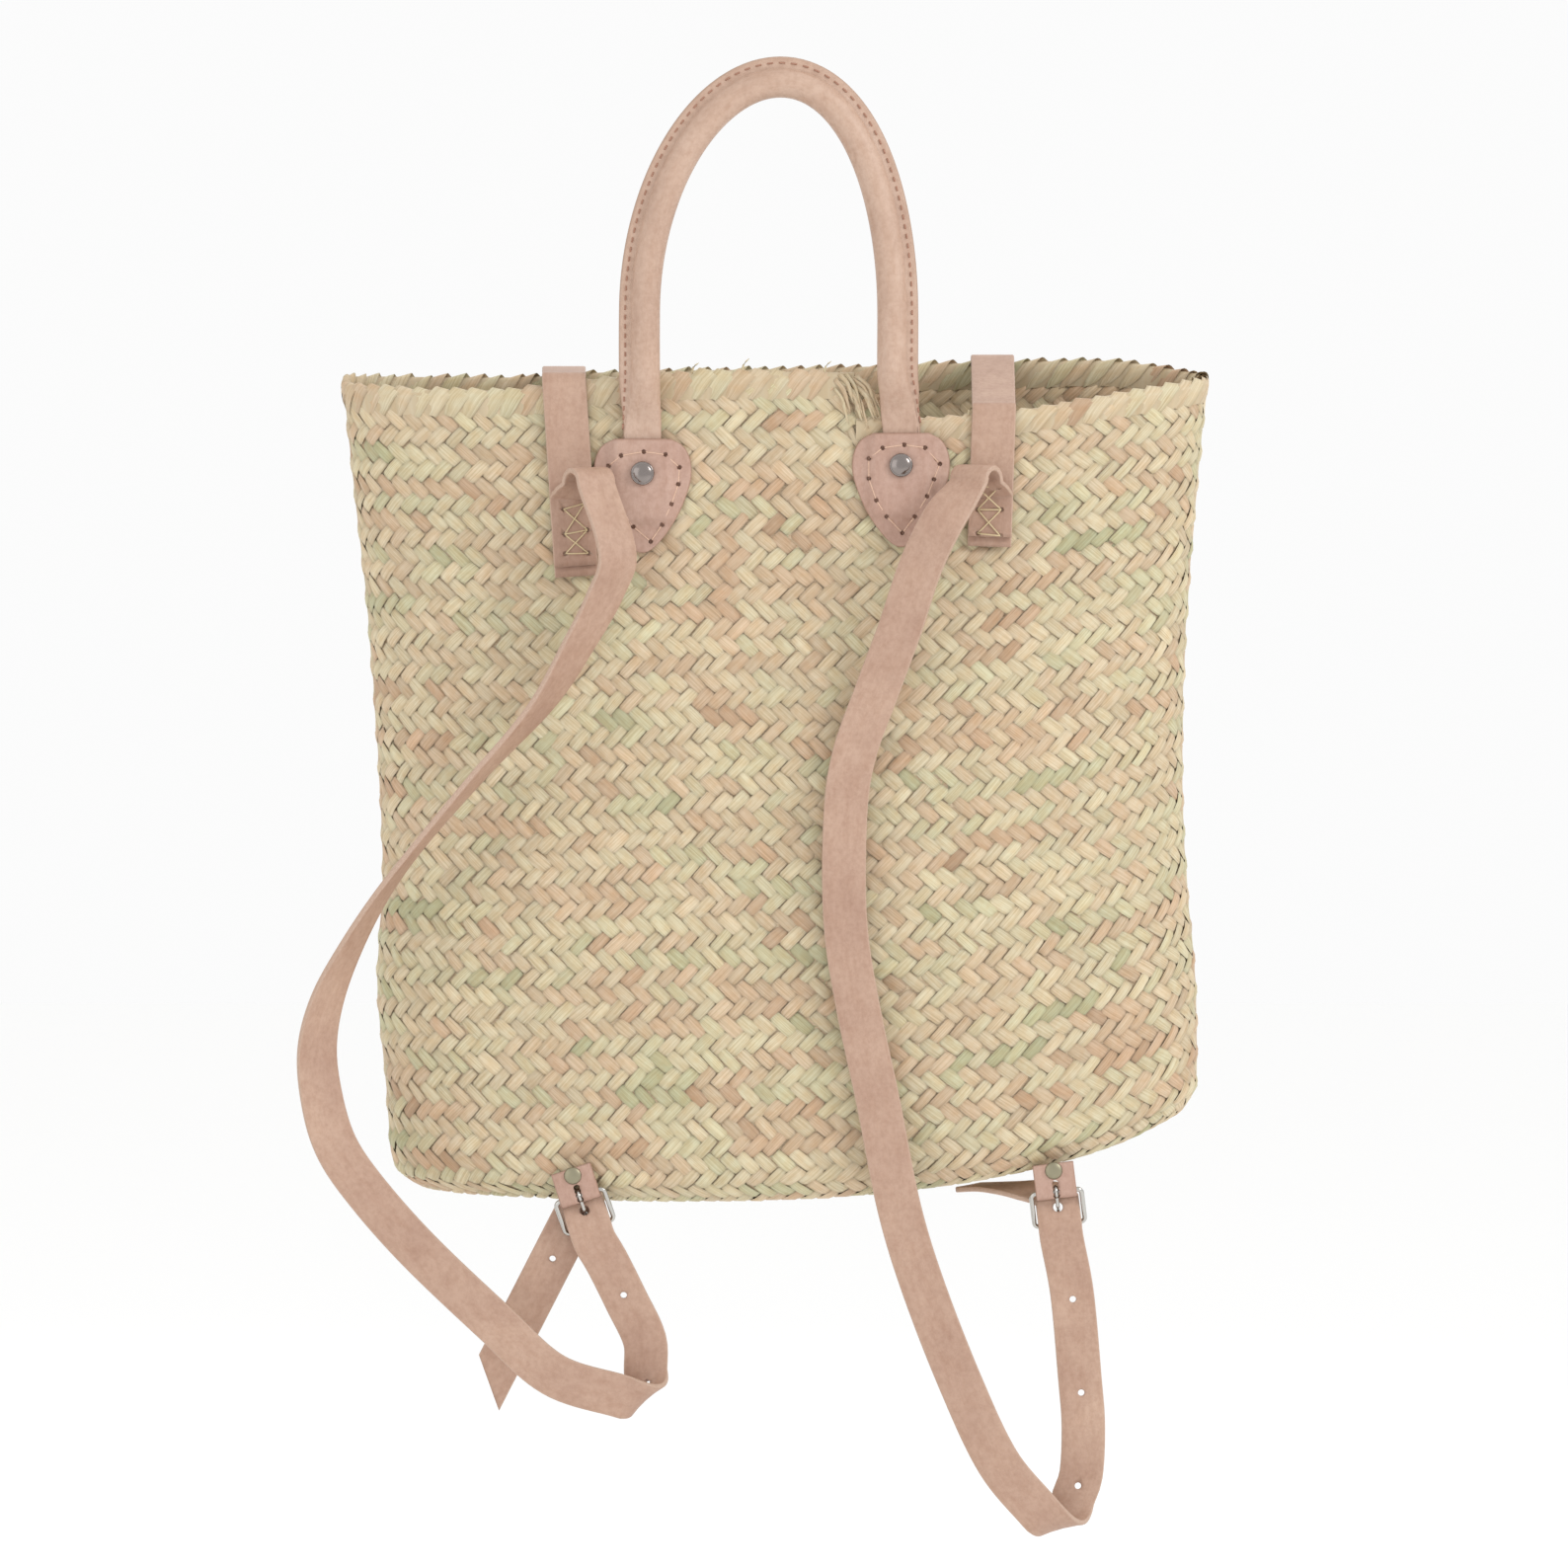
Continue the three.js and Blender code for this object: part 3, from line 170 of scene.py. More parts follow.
# %% Lattice on the wall
COLUMNS, ROW, WALL_ROWS, CLIMB_ROWS, RIM_ROW = 103, 7.8, 43.5, 2.0, 4.4
TURN_STOPS, GIRTH_HEIGHT, RIM_BLUR, SQUEEZE_REACH = 6001, -190.0, 161, 22
fine = np.linspace(0, 2 * np.pi, TURN_STOPS) + 2 * np.pi - np.arccos(STEP_ACROSS ** (SECTION_POWER / 2))
fine_x, fine_y = oval(fine)
girth_x = fine_x * half_width(GIRTH_HEIGHT, fine_x[1:].mean())
girth_y = fine_y * half_depth(GIRTH_HEIGHT)
walk = np.append(0, np.cumsum(np.hypot(np.diff(girth_x), np.diff(girth_y))))
AROUND = walk[-1]
PITCH = AROUND / COLUMNS
turn = walk / AROUND
near_side = fine_y < 0
right_of_step = near_side & (turn < 0.5)
progress = np.clip((fine_x - STEP_ACROSS) / (1 - STEP_ACROSS), 0, 1)
rim_line = BRAID_STEP * np.where(
    near_side, follow(RIM, "across", "near", fine_x), follow(RIM, "across", "far", fine_x)
) - np.where(right_of_step, BRAID_STEP, 0)
padded_line = np.pad(rim_line, RIM_BLUR // 2, "edge")
rim_line = np.convolve(padded_line, np.ones(RIM_BLUR) / RIM_BLUR, "valid")
squeeze = np.where(right_of_step, RIM_ROW * (1 - progress), 0)
top_line = rim_line - RIM_ROW + squeeze


def on_lattice(u, column):
    """A column of the table along the turn, at u mm round the bag."""
    return np.interp(u, walk, column)


def profile(u, v):
    """Angle, inset from the wall and height of the point v mm down the rows at u mm round the bag."""
    angle = on_lattice(u, fine)
    across = oval(angle)[0]
    top, base = on_lattice(u, top_line), base_at(across)
    wall = top - base - EDGE_RADIUS
    scale = wall / ((WALL_ROWS + CLIMB_ROWS * u / AROUND) * ROW)
    down = v * scale
    bend = np.clip((down - wall) / EDGE_RADIUS, 0, np.pi / 2)
    under = np.clip(down - wall - EDGE_RADIUS * np.pi / 2, 0, None)
    inset = EDGE_RADIUS * (1 - np.cos(bend)) + under
    z = top - np.minimum(down, wall) - EDGE_RADIUS * np.sin(bend)
    z = z - on_lattice(u, squeeze) * np.exp(-np.clip(down, -9, None) / SQUEEZE_REACH)
    return angle, inset, z


NARROWEST, THINNEST, NORMAL_STEP = 4, 0.6, 0.4


def surface(u, v, lift):
    """Point on the basket at u round and v down, lift mm outward along the normal N = Pu × Pv."""
    def place(u, v):
        angle, inset, z = profile(u, v)
        across, outward = oval(angle)
        wide = np.maximum(half_width(z, across) - inset, NARROWEST)
        deep = np.maximum(half_depth(z) - inset, THINNEST)
        push = np.where(outward < 0, dent_at(across, -z / HEIGHT) * np.sqrt(np.abs(outward)), 0)
        return np.stack([wide * across, deep * outward + push, z], -1)

    along = place(u + NORMAL_STEP, v) - place(u - NORMAL_STEP, v)
    down = place(u, v + NORMAL_STEP) - place(u, v - NORMAL_STEP)
    return place(u, v) + unit(np.cross(down, along)) * np.asarray(lift)[..., None]


print("round the bag, mm:", round(AROUND), "| width of a float's column, mm:", round(PITCH, 2))

# %% [markdown]
# ## Making a mesh from arrays
# Blender fills a mesh quickly from flat arrays. Each piece also gets point attributes, such as how far
# along a strand a point is, and the materials read these to lay their fibres the right way.

# %% Mesh helper
def sheet_faces(rows, columns):
    """Quads of an open grid of points that are numbered row by row."""
    index = np.arange(rows * columns).reshape(rows, columns)
    return np.stack([index[:-1, :-1], index[1:, :-1], index[1:, 1:], index[:-1, 1:]], -1).reshape(-1, 4)


def build(name, points, faces, material, attributes=None, replaces=()):
    """A piece from points in mm in the basket's frame and a list of face index arrays."""
    mesh = bpy.data.meshes.new(name)
    placed = (np.asarray(points, float).reshape(-1, 3) - HANG_POINT) * METRES
    corners = np.concatenate([np.asarray(f).ravel() for f in faces])
    counts = np.concatenate([np.full(len(f), np.asarray(f).shape[1]) for f in faces])
    mesh.vertices.add(len(placed))
    mesh.vertices.foreach_set("co", placed.ravel())
    mesh.loops.add(len(corners))
    mesh.loops.foreach_set("vertex_index", corners.astype(np.int32))
    mesh.polygons.add(len(counts))
    mesh.polygons.foreach_set("loop_start", np.append(0, np.cumsum(counts)[:-1]).astype(np.int32))
    mesh.polygons.foreach_set("use_smooth", np.ones(len(counts), bool))
    for key, values in (attributes or {}).items():
        values = np.asarray(values, np.float32)
        vector = values.ndim > 1
        column = mesh.attributes.new(key, "FLOAT_VECTOR" if vector else "FLOAT", "POINT")
        column.data.foreach_set("vector" if vector else "value", values.ravel())
    mesh.update(calc_edges=True)
    mesh.validate()
    mesh.materials.append(material)
    piece = bpy.data.objects.new(name, mesh)
    bpy.context.scene.collection.objects.link(piece)
    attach(piece, "root")
    if replaces:
        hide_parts(*replaces)
    print(name, "has", int((counts - 2).sum()), "triangles")
    return piece


class Nodes:
    """Short ways to make and join shader nodes."""

    def __init__(self, name):
        self.material = bpy.data.materials.new(name)
        self.material.use_nodes = True
        self.tree = self.material.node_tree
        self.shader = self.tree.nodes["Principled BSDF"]

    def add(self, kind, inputs=(), **settings):
        node = self.tree.nodes.new("ShaderNode" + kind)
        for key, value in settings.items():
            setattr(node, key, value)
        for key, value in dict(inputs).items():
            self.put(node, key, value)
        return node

    def put(self, node, key, value):
        if isinstance(value, bpy.types.NodeSocket):
            self.tree.links.new(value, node.inputs[key])
        else:
            node.inputs[key].default_value = value

    def attribute(self, name, output="Fac"):
        return self.add("Attribute", attribute_name=name).outputs[output]

    def maths(self, operation, *values):
        return self.add("Math", dict(enumerate(values)), operation=operation).outputs[0]

    def noise(self, where, scale, detail=2.0, roughness=0.5, stretch=(1, 1, 1)):
        mapped = self.add("Mapping", {"Vector": where, "Scale": stretch}).outputs[0]
        inputs = {"Vector": mapped, "Scale": scale, "Detail": detail, "Roughness": roughness}
        return self.add("TexNoise", inputs).outputs["Fac"]

    def ramp(self, share, stops):
        node = self.add("ValToRGB", {"Fac": share})
        elements = node.color_ramp.elements
        while len(elements) < len(stops):
            elements.new(0.5)
        for element, (place, colour) in zip(elements, stops):
            element.position, element.color = place, colour
        return node.outputs[0]

    def stained(self, share, body, pattern, stops):
        """The body multiplied, by a share, with the tones that a ramp gives to a pattern."""
        return self.mixed(share, body, self.ramp(pattern, stops), "MULTIPLY")

    def mixed(self, share, first, second, blend="MIX"):
        node = self.add("Mix", data_type="RGBA", blend_type=blend)
        for socket, value in zip([node.inputs[0], node.inputs[6], node.inputs[7]], [share, first, second]):
            if isinstance(value, bpy.types.NodeSocket):
                self.tree.links.new(value, socket)
            else:
                socket.default_value = value
        return node.outputs[2]


def colour(red, green, blue):
    """An sRGB colour of 0 to 255 as the linear numbers that shaders take."""
    share = np.array([red, green, blue]) / 255
    linear = np.where(share <= 0.04045, share / 12.92, ((share + 0.055) / 1.055) ** 2.4)
    return (*[float(x) for x in linear], 1.0)


WHITE = (1, 1, 1, 1)
print("mesh and shader helpers are ready")

# %% [markdown]
# ## Straw
# Dried palm leaf is pale, slightly glossy along its fibres and never one colour: some strips are cream,
# some peach where the leaf was bruised, a few still greenish. The weaver adds strips in runs, so the
# colours come in patches. Each float carries its own hue, and fine noise stretched along the float
# gives the ribs of the leaf.

# %% Straw material
STRAW_STOPS = [
    (0.0, colour(180, 179, 145)),
    (0.18, colour(200, 195, 163)),
    (0.42, colour(209, 197, 168)),
    (0.62, colour(203, 183, 156)),
    (0.84, colour(197, 170, 143)),
    (1.0, colour(183, 156, 129)),
]


def straw_material(name, painted_light=1.0):
    """Straw whose hue, own tone and painted shade come from the floats, with ribs along its fibres; a factor
    above 1 paints it lighter all over.
    """
    n = Nodes(name)
    fibre = n.attribute("fibre", "Vector")
    body = n.ramp(n.attribute("hue"), STRAW_STOPS)
    ribs = n.noise(fibre, scale=1.0, detail=3, roughness=0.6, stretch=(0.05, 1.7, 1))
    blotch = n.noise(fibre, scale=0.22)
    body = n.stained(0.75, body, ribs, [(0.3, colour(214, 206, 192)), (0.62, WHITE)])
    body = n.stained(0.8, body, blotch, [(0.35, WHITE), (0.75, colour(248, 234, 218))])
    # Painted shade: this value darkens the straw towards the ends and sides of its floats and strands, times
    # their own random tone; the factor scales it.
    tone_and_painted_shade = n.maths("MULTIPLY", n.attribute("tone_and_painted_shade"), painted_light)
    tone_and_painted_shade_colour = n.add("CombineColor", {channel: tone_and_painted_shade for channel in range(3)}).outputs[0]
    body = n.mixed(1.0, body, tone_and_painted_shade_colour, "MULTIPLY")
    n.put(n.shader, "Base Color", body)
    n.put(n.shader, "Roughness", n.maths("MULTIPLY_ADD", ribs, -0.25, 0.72))
    n.put(n.shader, "Specular IOR Level", 0.35)
    bump = n.add("Bump", {"Strength": 0.35, "Distance": 0.0004, "Height": ribs})
    n.put(n.shader, "Normal", bump.outputs[0])
    return n.material


STRAW = straw_material("palm_straw")
# Painted light: the copy for the lining and the backing is painted 1.18 times lighter, to lift the shade
# inside the bag.
INSIDE_STRAW_PAINTED_LIGHT = straw_material("palm_straw_inside_painted_light", 1.18)

# %% [markdown]
# ## Floats of the twill
# In a 2/2 twill each strip passes over two and under two, so every visible float is a short
# parallelogram. Rows lean to the right and to the left in turn, and together they make the herringbone
# of the plait. Each float is its own small cushion: it bulges along its middle and dives at both ends
# under its neighbours, which draws the fine dark slits that woven straw has.

# %% Woven floats
OUTER_LIFT, BACKING_LIFT, LINING_LIFT, LAST_ROW, SPLIT_ROW = -0.45, -1.6, -2.5, 57, 28
FLOAT_BULGE, FLOAT_DIVE, FLOAT_EDGE, FLOAT_FLOOR, RELIEF = 0.5, 0.9, 0.3, -0.5, 0.42
MIDDLE_HUE, RUN_SPREAD, FLOAT_SPREAD = 0.46, 0.15, 0.11
HALF_FLOAT, HALF_STRIP, END_TAPER, UNEVEN = 0.52, 0.508, 0.12, 0.05
FIBRE_ALONG, FIBRE_ACROSS, FIBRE_SPREAD = 5.7, 2.9, 500
# The stray amount is each float's own random tone; the end and side amounts are painted shade towards a
# float's ends and sides.
STRAY_U, STRAY_V, STRAY_LIFT, STRAY_TONE, END_PAINTED_SHADE, SIDE_PAINTED_SHADE = 0.25, 0.2, 0.1, 0.045, 0.2, 0.12


def hue_runs(rows, columns, low=3, high=7):
    """Hues along each row in runs of a few floats, as strips are replaced while plaiting."""
    hues = np.zeros((rows, columns))
    for row in range(rows):
        start = 0
        while start < columns:
            length = int(RNG.integers(low, high))
            hues[row, start:start + length] = np.clip(RNG.normal(MIDDLE_HUE, RUN_SPREAD), 0, 1)
            start += length
    return np.clip(hues + RNG.normal(0, FLOAT_SPREAD, hues.shape), 0, 1)


def float_shape(stops_along, stops_across):
    """Grid of one float in shares (s along, t across) and the faces of its top and closed underside."""
    s, t = np.meshgrid(stops_along, stops_across, indexing="ij")
    index = np.arange(s.size).reshape(s.shape)
    rim = np.concatenate([index[0, :-1], index[:-1, -1], index[-1, :0:-1], index[:0:-1, 0]])
    under = np.stack([np.roll(rim, -1), np.full(len(rim), s.size), rim], -1)[:, ::-1]
    return np.append(s, 0.0), np.append(t, 0.0), sheet_faces(*s.shape), under, s.size


def weave(name, row_range, lift, inward, shape, material, hues, replaces=()):
    """Floats of some rows on the lattice, bulging outward, or inward when inward is −1."""
    s, t, top, under, centre = shape
    row, column = np.meshgrid(np.arange(*row_range), np.arange(COLUMNS), indexing="ij")
    lean = np.where(row % 2 == 0, -1.0, 1.0).ravel()
    centre_u = (column + np.where(row % 2 == 0, 0.75, 0.25)).ravel() * PITCH
    centre_v = (row + 0.25).ravel() * ROW
    count = len(lean)
    wander = RNG.normal(0, 1, (6, count))[..., None]
    long = HALF_FLOAT * (1 + UNEVEN * wander[0]) * s
    wide = HALF_STRIP * (1 + UNEVEN * wander[1]) * t * (1 - END_TAPER * s**4)
    tilt = UNEVEN * wander[2]
    u = centre_u[:, None] + long * PITCH + wide * PITCH / 2 + tilt * wide * PITCH + STRAY_U * wander[3]
    v = centre_v[:, None] + lean[:, None] * (long - wide / 2 - tilt * long) * ROW + STRAY_V * wander[4]
    past = np.floor(u / AROUND)
    u, v = u - past * AROUND, v - past * CLIMB_ROWS * ROW
    bulge = FLOAT_BULGE * (1 - t**2 * 0.75) - FLOAT_DIVE * s**4 - FLOAT_EDGE * t**4
    bulge = np.where(np.arange(len(s)) == centre, FLOAT_FLOOR, bulge)
    wave = RELIEF * np.cos(np.pi * (v / ROW - 0.25)) if inward > 0 else 0
    height = lift + inward * (bulge + STRAY_LIFT * wander[5]) + wave
    points = surface(u, v, height)
    offset = (np.arange(count) * len(s))[:, None, None]
    faces = [(top + offset).reshape(-1, 4), (under + offset).reshape(-1, 3)]
    if inward < 0:
        faces = [f[:, ::-1] for f in faces]
    hue = np.repeat(hues[row.ravel(), column.ravel()], len(s))
    spot = RNG.uniform(0, FIBRE_SPREAD, (count, 1))
    fibre = np.stack([s * FIBRE_ALONG + spot, t * FIBRE_ACROSS + 0 * spot, 0 * s + spot], -1)
    # Painted shade: the float darkens towards its ends and sides, where it dives under its neighbours; the
    # random part is its own tone.
    tone_and_painted_shade = 1 + STRAY_TONE * wander[5] - END_PAINTED_SHADE * s**6 - SIDE_PAINTED_SHADE * t**6
    attributes = {"hue": hue, "fibre": fibre.reshape(-1, 3), "tone_and_painted_shade": tone_and_painted_shade.ravel()}
    build(name, points, faces, material, attributes, replaces)


hues = hue_runs(LAST_ROW, COLUMNS)
fine_float = float_shape([-1, -0.72, 0, 0.72, 1], [-1, -0.55, 0.55, 1])
plain_float = float_shape([-1, -0.6, 0.6, 1], [-1, 0, 1])
weave("woven_wall_upper", (0, SPLIT_ROW), OUTER_LIFT, 1, fine_float, STRAW, hues, ["basket_body"])
weave("woven_wall_lower", (SPLIT_ROW, LAST_ROW), OUTER_LIFT, 1, fine_float, STRAW, hues)
weave("woven_lining", (0, LAST_ROW - 2), LINING_LIFT, -1, plain_float, INSIDE_STRAW_PAINTED_LIGHT, hues)


def straw_sheet(name, points, quads, along, across, material, hue, tone_and_painted_shade):
    """One plain open sheet of straw of one hue, with its fibres laid by along and across."""
    fibre = np.stack([along, across, 0 * along], -1).reshape(-1, 3)
    build(name, points, [quads], material,
          {"hue": np.full(along.size, hue), "fibre": fibre, "tone_and_painted_shade": np.full(along.size, tone_and_painted_shade)})


def backing():
    """A plain sheet between both layers of floats, so that no light comes through the slits."""
    round_stops = np.linspace(0, AROUND, 2 * COLUMNS + 1)
    down_stops = np.linspace(-0.42, LAST_ROW, 66) * ROW
    u, v = np.meshgrid(round_stops, down_stops, indexing="ij")
    points = surface(u, v, np.full(u.shape, BACKING_LIFT))
    # Painted shade: the sheet is painted at 0.82 of its colour, as shade falls behind the slits; the inside
    # copy's painted light lifts it by 1.18.
    straw_sheet("straw_backing", points, sheet_faces(*u.shape), u, v, INSIDE_STRAW_PAINTED_LIGHT, hue=0.6, tone_and_painted_shade=0.82)


backing()

# %% [markdown]
# ## Straps, tubes and wires by sweeping
# A strap, a rolled handle and a buckle's wire are all one closed section carried along a curve. At each
# station the frame is the tangent T, the strap's width direction W made square to it, and F = T × W.
# A smooth curve through a few given stations gives the hang of each strap.

# %% Sweep helper
def through(stations, spacing):
    """Centripetal cubic through stations (rows of x, y, z and width direction), about spacing mm apart."""
    stations = np.asarray(stations, float)
    chord = np.linalg.norm(np.diff(stations[:, :3], axis=0), axis=1)
    knots = np.append(0, np.cumsum(np.sqrt(chord)))
    rows = {"at": knots, **{column: stations[:, column] for column in range(6)}}
    parts = np.maximum(2, np.round(chord / spacing).astype(int))
    stretches = [np.linspace(start, end, n + 1)[:-1] for start, end, n in zip(knots[:-1], knots[1:], parts)]
    at = np.concatenate([*stretches, knots[-1:]])
    curve = np.stack([follow(rows, "at", column, at) for column in range(6)], 1)
    return curve[:, :3], curve[:, 3:]


def sweep_points(centres, across, sections):
    """Points C + s W + t F for each station's closed section of (s, t), with W square to the tangent."""
    tangent = unit(np.gradient(centres, axis=0))
    across = unit(across - tangent * (across * tangent).sum(1, keepdims=True))
    facing = np.cross(tangent, across)
    grid = centres[:, None] + sections[..., :1] * across[:, None] + sections[..., 1:] * facing[:, None]
    return grid, tangent, facing


def tube_faces(rows, columns, closed=False):
    """Quads of a swept grid, and for an open sweep the fans that close both ends."""
    index = np.arange(rows * columns).reshape(rows, columns)
    ahead = np.roll(index, -1, 0) if closed else index[1:]
    here = index if closed else index[:-1]
    quads = np.stack([here, np.roll(here, -1, 1), np.roll(ahead, -1, 1), ahead], -1).reshape(-1, 4)
    if closed:
        return [quads]
    first, last = index[0], index[-1]
    caps = [(rows * columns, first[::-1]), (rows * columns + 1, last)]
    fans = [np.stack([ring, np.roll(ring, -1), np.full(columns, centre)], -1) for centre, ring in caps]
    return [quads, *fans]


def with_caps(grid):
    """Flat list of a swept grid's points with the middle of each end added for its fan."""
    return np.concatenate([grid.reshape(-1, 3), grid[:1].mean(1), grid[-1:].mean(1)])


def swept(name, grid, fibre, raw, material, replaces=()):
    """A leather piece from a swept grid: fibre tells its grain, and raw is 1 where its edge is cut."""
    attributes = {"fibre": with_caps(fibre), "raw": np.append(raw.ravel(), [1, 1])}
    return build(name, with_caps(grid), tube_faces(*grid.shape[:2]), material, attributes, replaces)


CORNER_RADIUS, CORNER_SHARE, POINT_SLOPE, RAW_EDGE, RAW_BLEND = 0.8, 0.36, 2.2, 0.75, 0.6


def strap_section(width, thickness, radius=CORNER_RADIUS, spread=5, cup=0.0):
    """Rounded rectangle, from the right edge round: arcs at the corners and a few points on each face."""
    half, deep = width / 2 - radius, thickness / 2 - radius
    corners = [(half, -deep, -90), (half, deep, 0), (-half, deep, 90), (-half, -deep, 180)]
    points = []
    for number, (s, t, start) in enumerate(corners):
        for angle in np.radians(start + np.array([0, 30, 60, 90])):
            points.append((s + radius * np.cos(angle), t + radius * np.sin(angle)))
        if number == 1:
            points += [(half * x, thickness / 2) for x in np.linspace(1, -1, spread + 2)[1:-1]]
        if number == 3:
            points += [(half * x, -thickness / 2) for x in np.linspace(-1, 1, spread + 2)[1:-1]]
    points = np.array(points)
    points[:, 1] += cup * (1 - (2 * points[:, 0] / width) ** 2)
    return points


def strap(name, centres, across, width, thickness, material, replaces=(), point=0.0, cup=0.0):
    """A leather strap swept along its centres, its end cut to a slanted point by point mm."""
    section = strap_section(width, thickness, min(CORNER_RADIUS, thickness * CORNER_SHARE), cup=cup)
    sections = np.repeat(section[None], len(centres), 0)
    grid, tangent, facing = sweep_points(centres, across, sections)
    length = length_along(centres)
    slant = np.clip(1 - (length[-1] - length) / (POINT_SLOPE * max(point, 1)), 0, 1)[:, None]
    grid = grid - tangent[:, None] * (point * slant * (0.5 - sections[..., 0] / width))[..., None]
    fibre = np.stack([np.repeat(length[:, None], len(section), 1), sections[..., 0], sections[..., 1]], -1)
    raw = smooth((np.abs(section[:, 0]) - (width / 2 - RAW_EDGE)) / RAW_BLEND)
    raw = np.repeat(raw[None], len(centres), 0)
    return swept(name, grid, fibre, raw, material, replaces), length, facing


def width_direction(turn, tilt):
    """Direction of a strap's width, turned about the upright and tilted in the bag's plane, in degrees."""
    yaw, lift = np.radians(turn), np.radians(tilt)
    return np.array([np.cos(yaw) * np.cos(lift), np.sin(yaw) * np.cos(lift), np.sin(lift)])


print("a strap's section has", len(strap_section(20, 2.6)), "points")

# %% [markdown]
# ## Leather
# The straps are natural vegetable-tanned leather: pinkish beige, matt, with fine pores, soft darker
# clouds where hands and folds have worked it, and paler fibrous cut edges. The handle is smoother and
# lighter. One function makes each tone, so the pieces differ as hides differ.

# %% Leather materials
def leather(name, base, dark, light, edge, grain=1.0, gloss=0.55):
    """Matt leather with clouds, scuffs, creases and pores, and fibrous where its edge is raw."""
    n = Nodes(name)
    fibre = n.attribute("fibre", "Vector")
    here = n.add("TexCoord").outputs["Object"]
    clouds = n.noise(here, scale=22, detail=4, roughness=0.62)
    body = n.ramp(clouds, [(0.28, dark), (0.5, base), (0.74, light)])
    scuffs = n.noise(fibre, scale=0.28, detail=5, roughness=0.75, stretch=(0.35, 1, 1))
    body = n.stained(0.55, body, scuffs, [(0.34, colour(236, 226, 219)), (0.56, WHITE)])
    cells = n.add("TexVoronoi", {"Vector": here, "Scale": 1500 * grain}, feature="DISTANCE_TO_EDGE")
    pores = cells.outputs[0]
    creases = n.noise(here, scale=420, detail=3, roughness=0.7)
    body = n.stained(0.25, body, creases, [(0.35, colour(205, 190, 180)), (0.6, WHITE)])
    cut = n.noise(fibre, scale=2.2, detail=3, roughness=0.7, stretch=(0.3, 1, 1.5))
    cut_tone = n.stained(0.6, edge, cut, [(0.3, colour(196, 176, 160)), (0.7, WHITE)])
    body = n.mixed(n.attribute("raw"), body, cut_tone)
    n.put(n.shader, "Base Color", body)
    n.put(n.shader, "Roughness", n.maths("MULTIPLY_ADD", scuffs, 0.22, gloss - 0.08))
    n.put(n.shader, "Specular IOR Level", 0.4)
    height = n.maths("ADD", n.maths("MULTIPLY", pores, 0.5), n.maths("MULTIPLY", creases, 0.9))
    height = n.maths("MULTIPLY_ADD", n.attribute("raw"), n.maths("MULTIPLY", cut, 1.2), height)
    bump = n.add("Bump", {"Strength": 0.3, "Distance": 0.0004, "Height": height})
    n.put(n.shader, "Normal", bump.outputs[0])
    return n.material


STRAP_LEATHER = leather(
    "strap_leather", base=colour(180, 149, 130), dark=colour(171, 139, 121), light=colour(192, 162, 142),
    edge=colour(194, 168, 150))
HANDLE_LEATHER = leather(
    "handle_leather", base=colour(191, 162, 143), dark=colour(182, 153, 135), light=colour(200, 174, 156),
    edge=colour(180, 152, 133), grain=1.4, gloss=0.42)
TAB_LEATHER = leather(
    "tab_leather", base=colour(181, 149, 134), dark=colour(173, 140, 124), light=colour(192, 162, 146),
    edge=colour(171, 138, 121), gloss=0.48)


def metal(name, tone, roughness):
    n = Nodes(name)
    wear = n.noise(n.add("TexCoord").outputs["Object"], scale=900, detail=3, roughness=0.6)
    n.put(n.shader, "Base Color", tone)
    n.put(n.shader, "Metallic", 1.0)
    n.put(n.shader, "Roughness", n.maths("MULTIPLY_ADD", wear, 0.12, roughness))
    return n.material


NICKEL = metal("nickel", colour(184, 182, 177), 0.14)
DULL_METAL = metal("dull_metal", colour(150, 144, 122), 0.4)
DARK_STEEL = metal("dark_steel", colour(138, 130, 126), 0.14)


def thread_material(name, tone):
    n = Nodes(name)
    twist = n.noise(n.attribute("fibre", "Vector"), scale=1.0, detail=1, stretch=(2.2, 1, 1))
    light = tuple(min(1.0, 1.2 * channel + 0.04) for channel in tone)
    n.put(n.shader, "Base Color", n.mixed(twist, tone, light))
    n.put(n.shader, "Roughness", 0.75)
    return n.material


YELLOW_THREAD = thread_material("yellow_thread", colour(196, 178, 140))
PALE_THREAD = thread_material("pale_thread", colour(202, 170, 146))
WELT_THREAD = thread_material("welt_thread", colour(150, 108, 88))
print("leather, metal and thread are ready")

# %% [markdown]
# ## The two sides
# Left and right are built alike but hang differently, so each side has its own table: where its handle
# tab, its strap over the rim and its buckle sit, and the way that its shoulder strap hangs. Places are
# shares of the half mouth and of the basket's height, as in the CAD source.

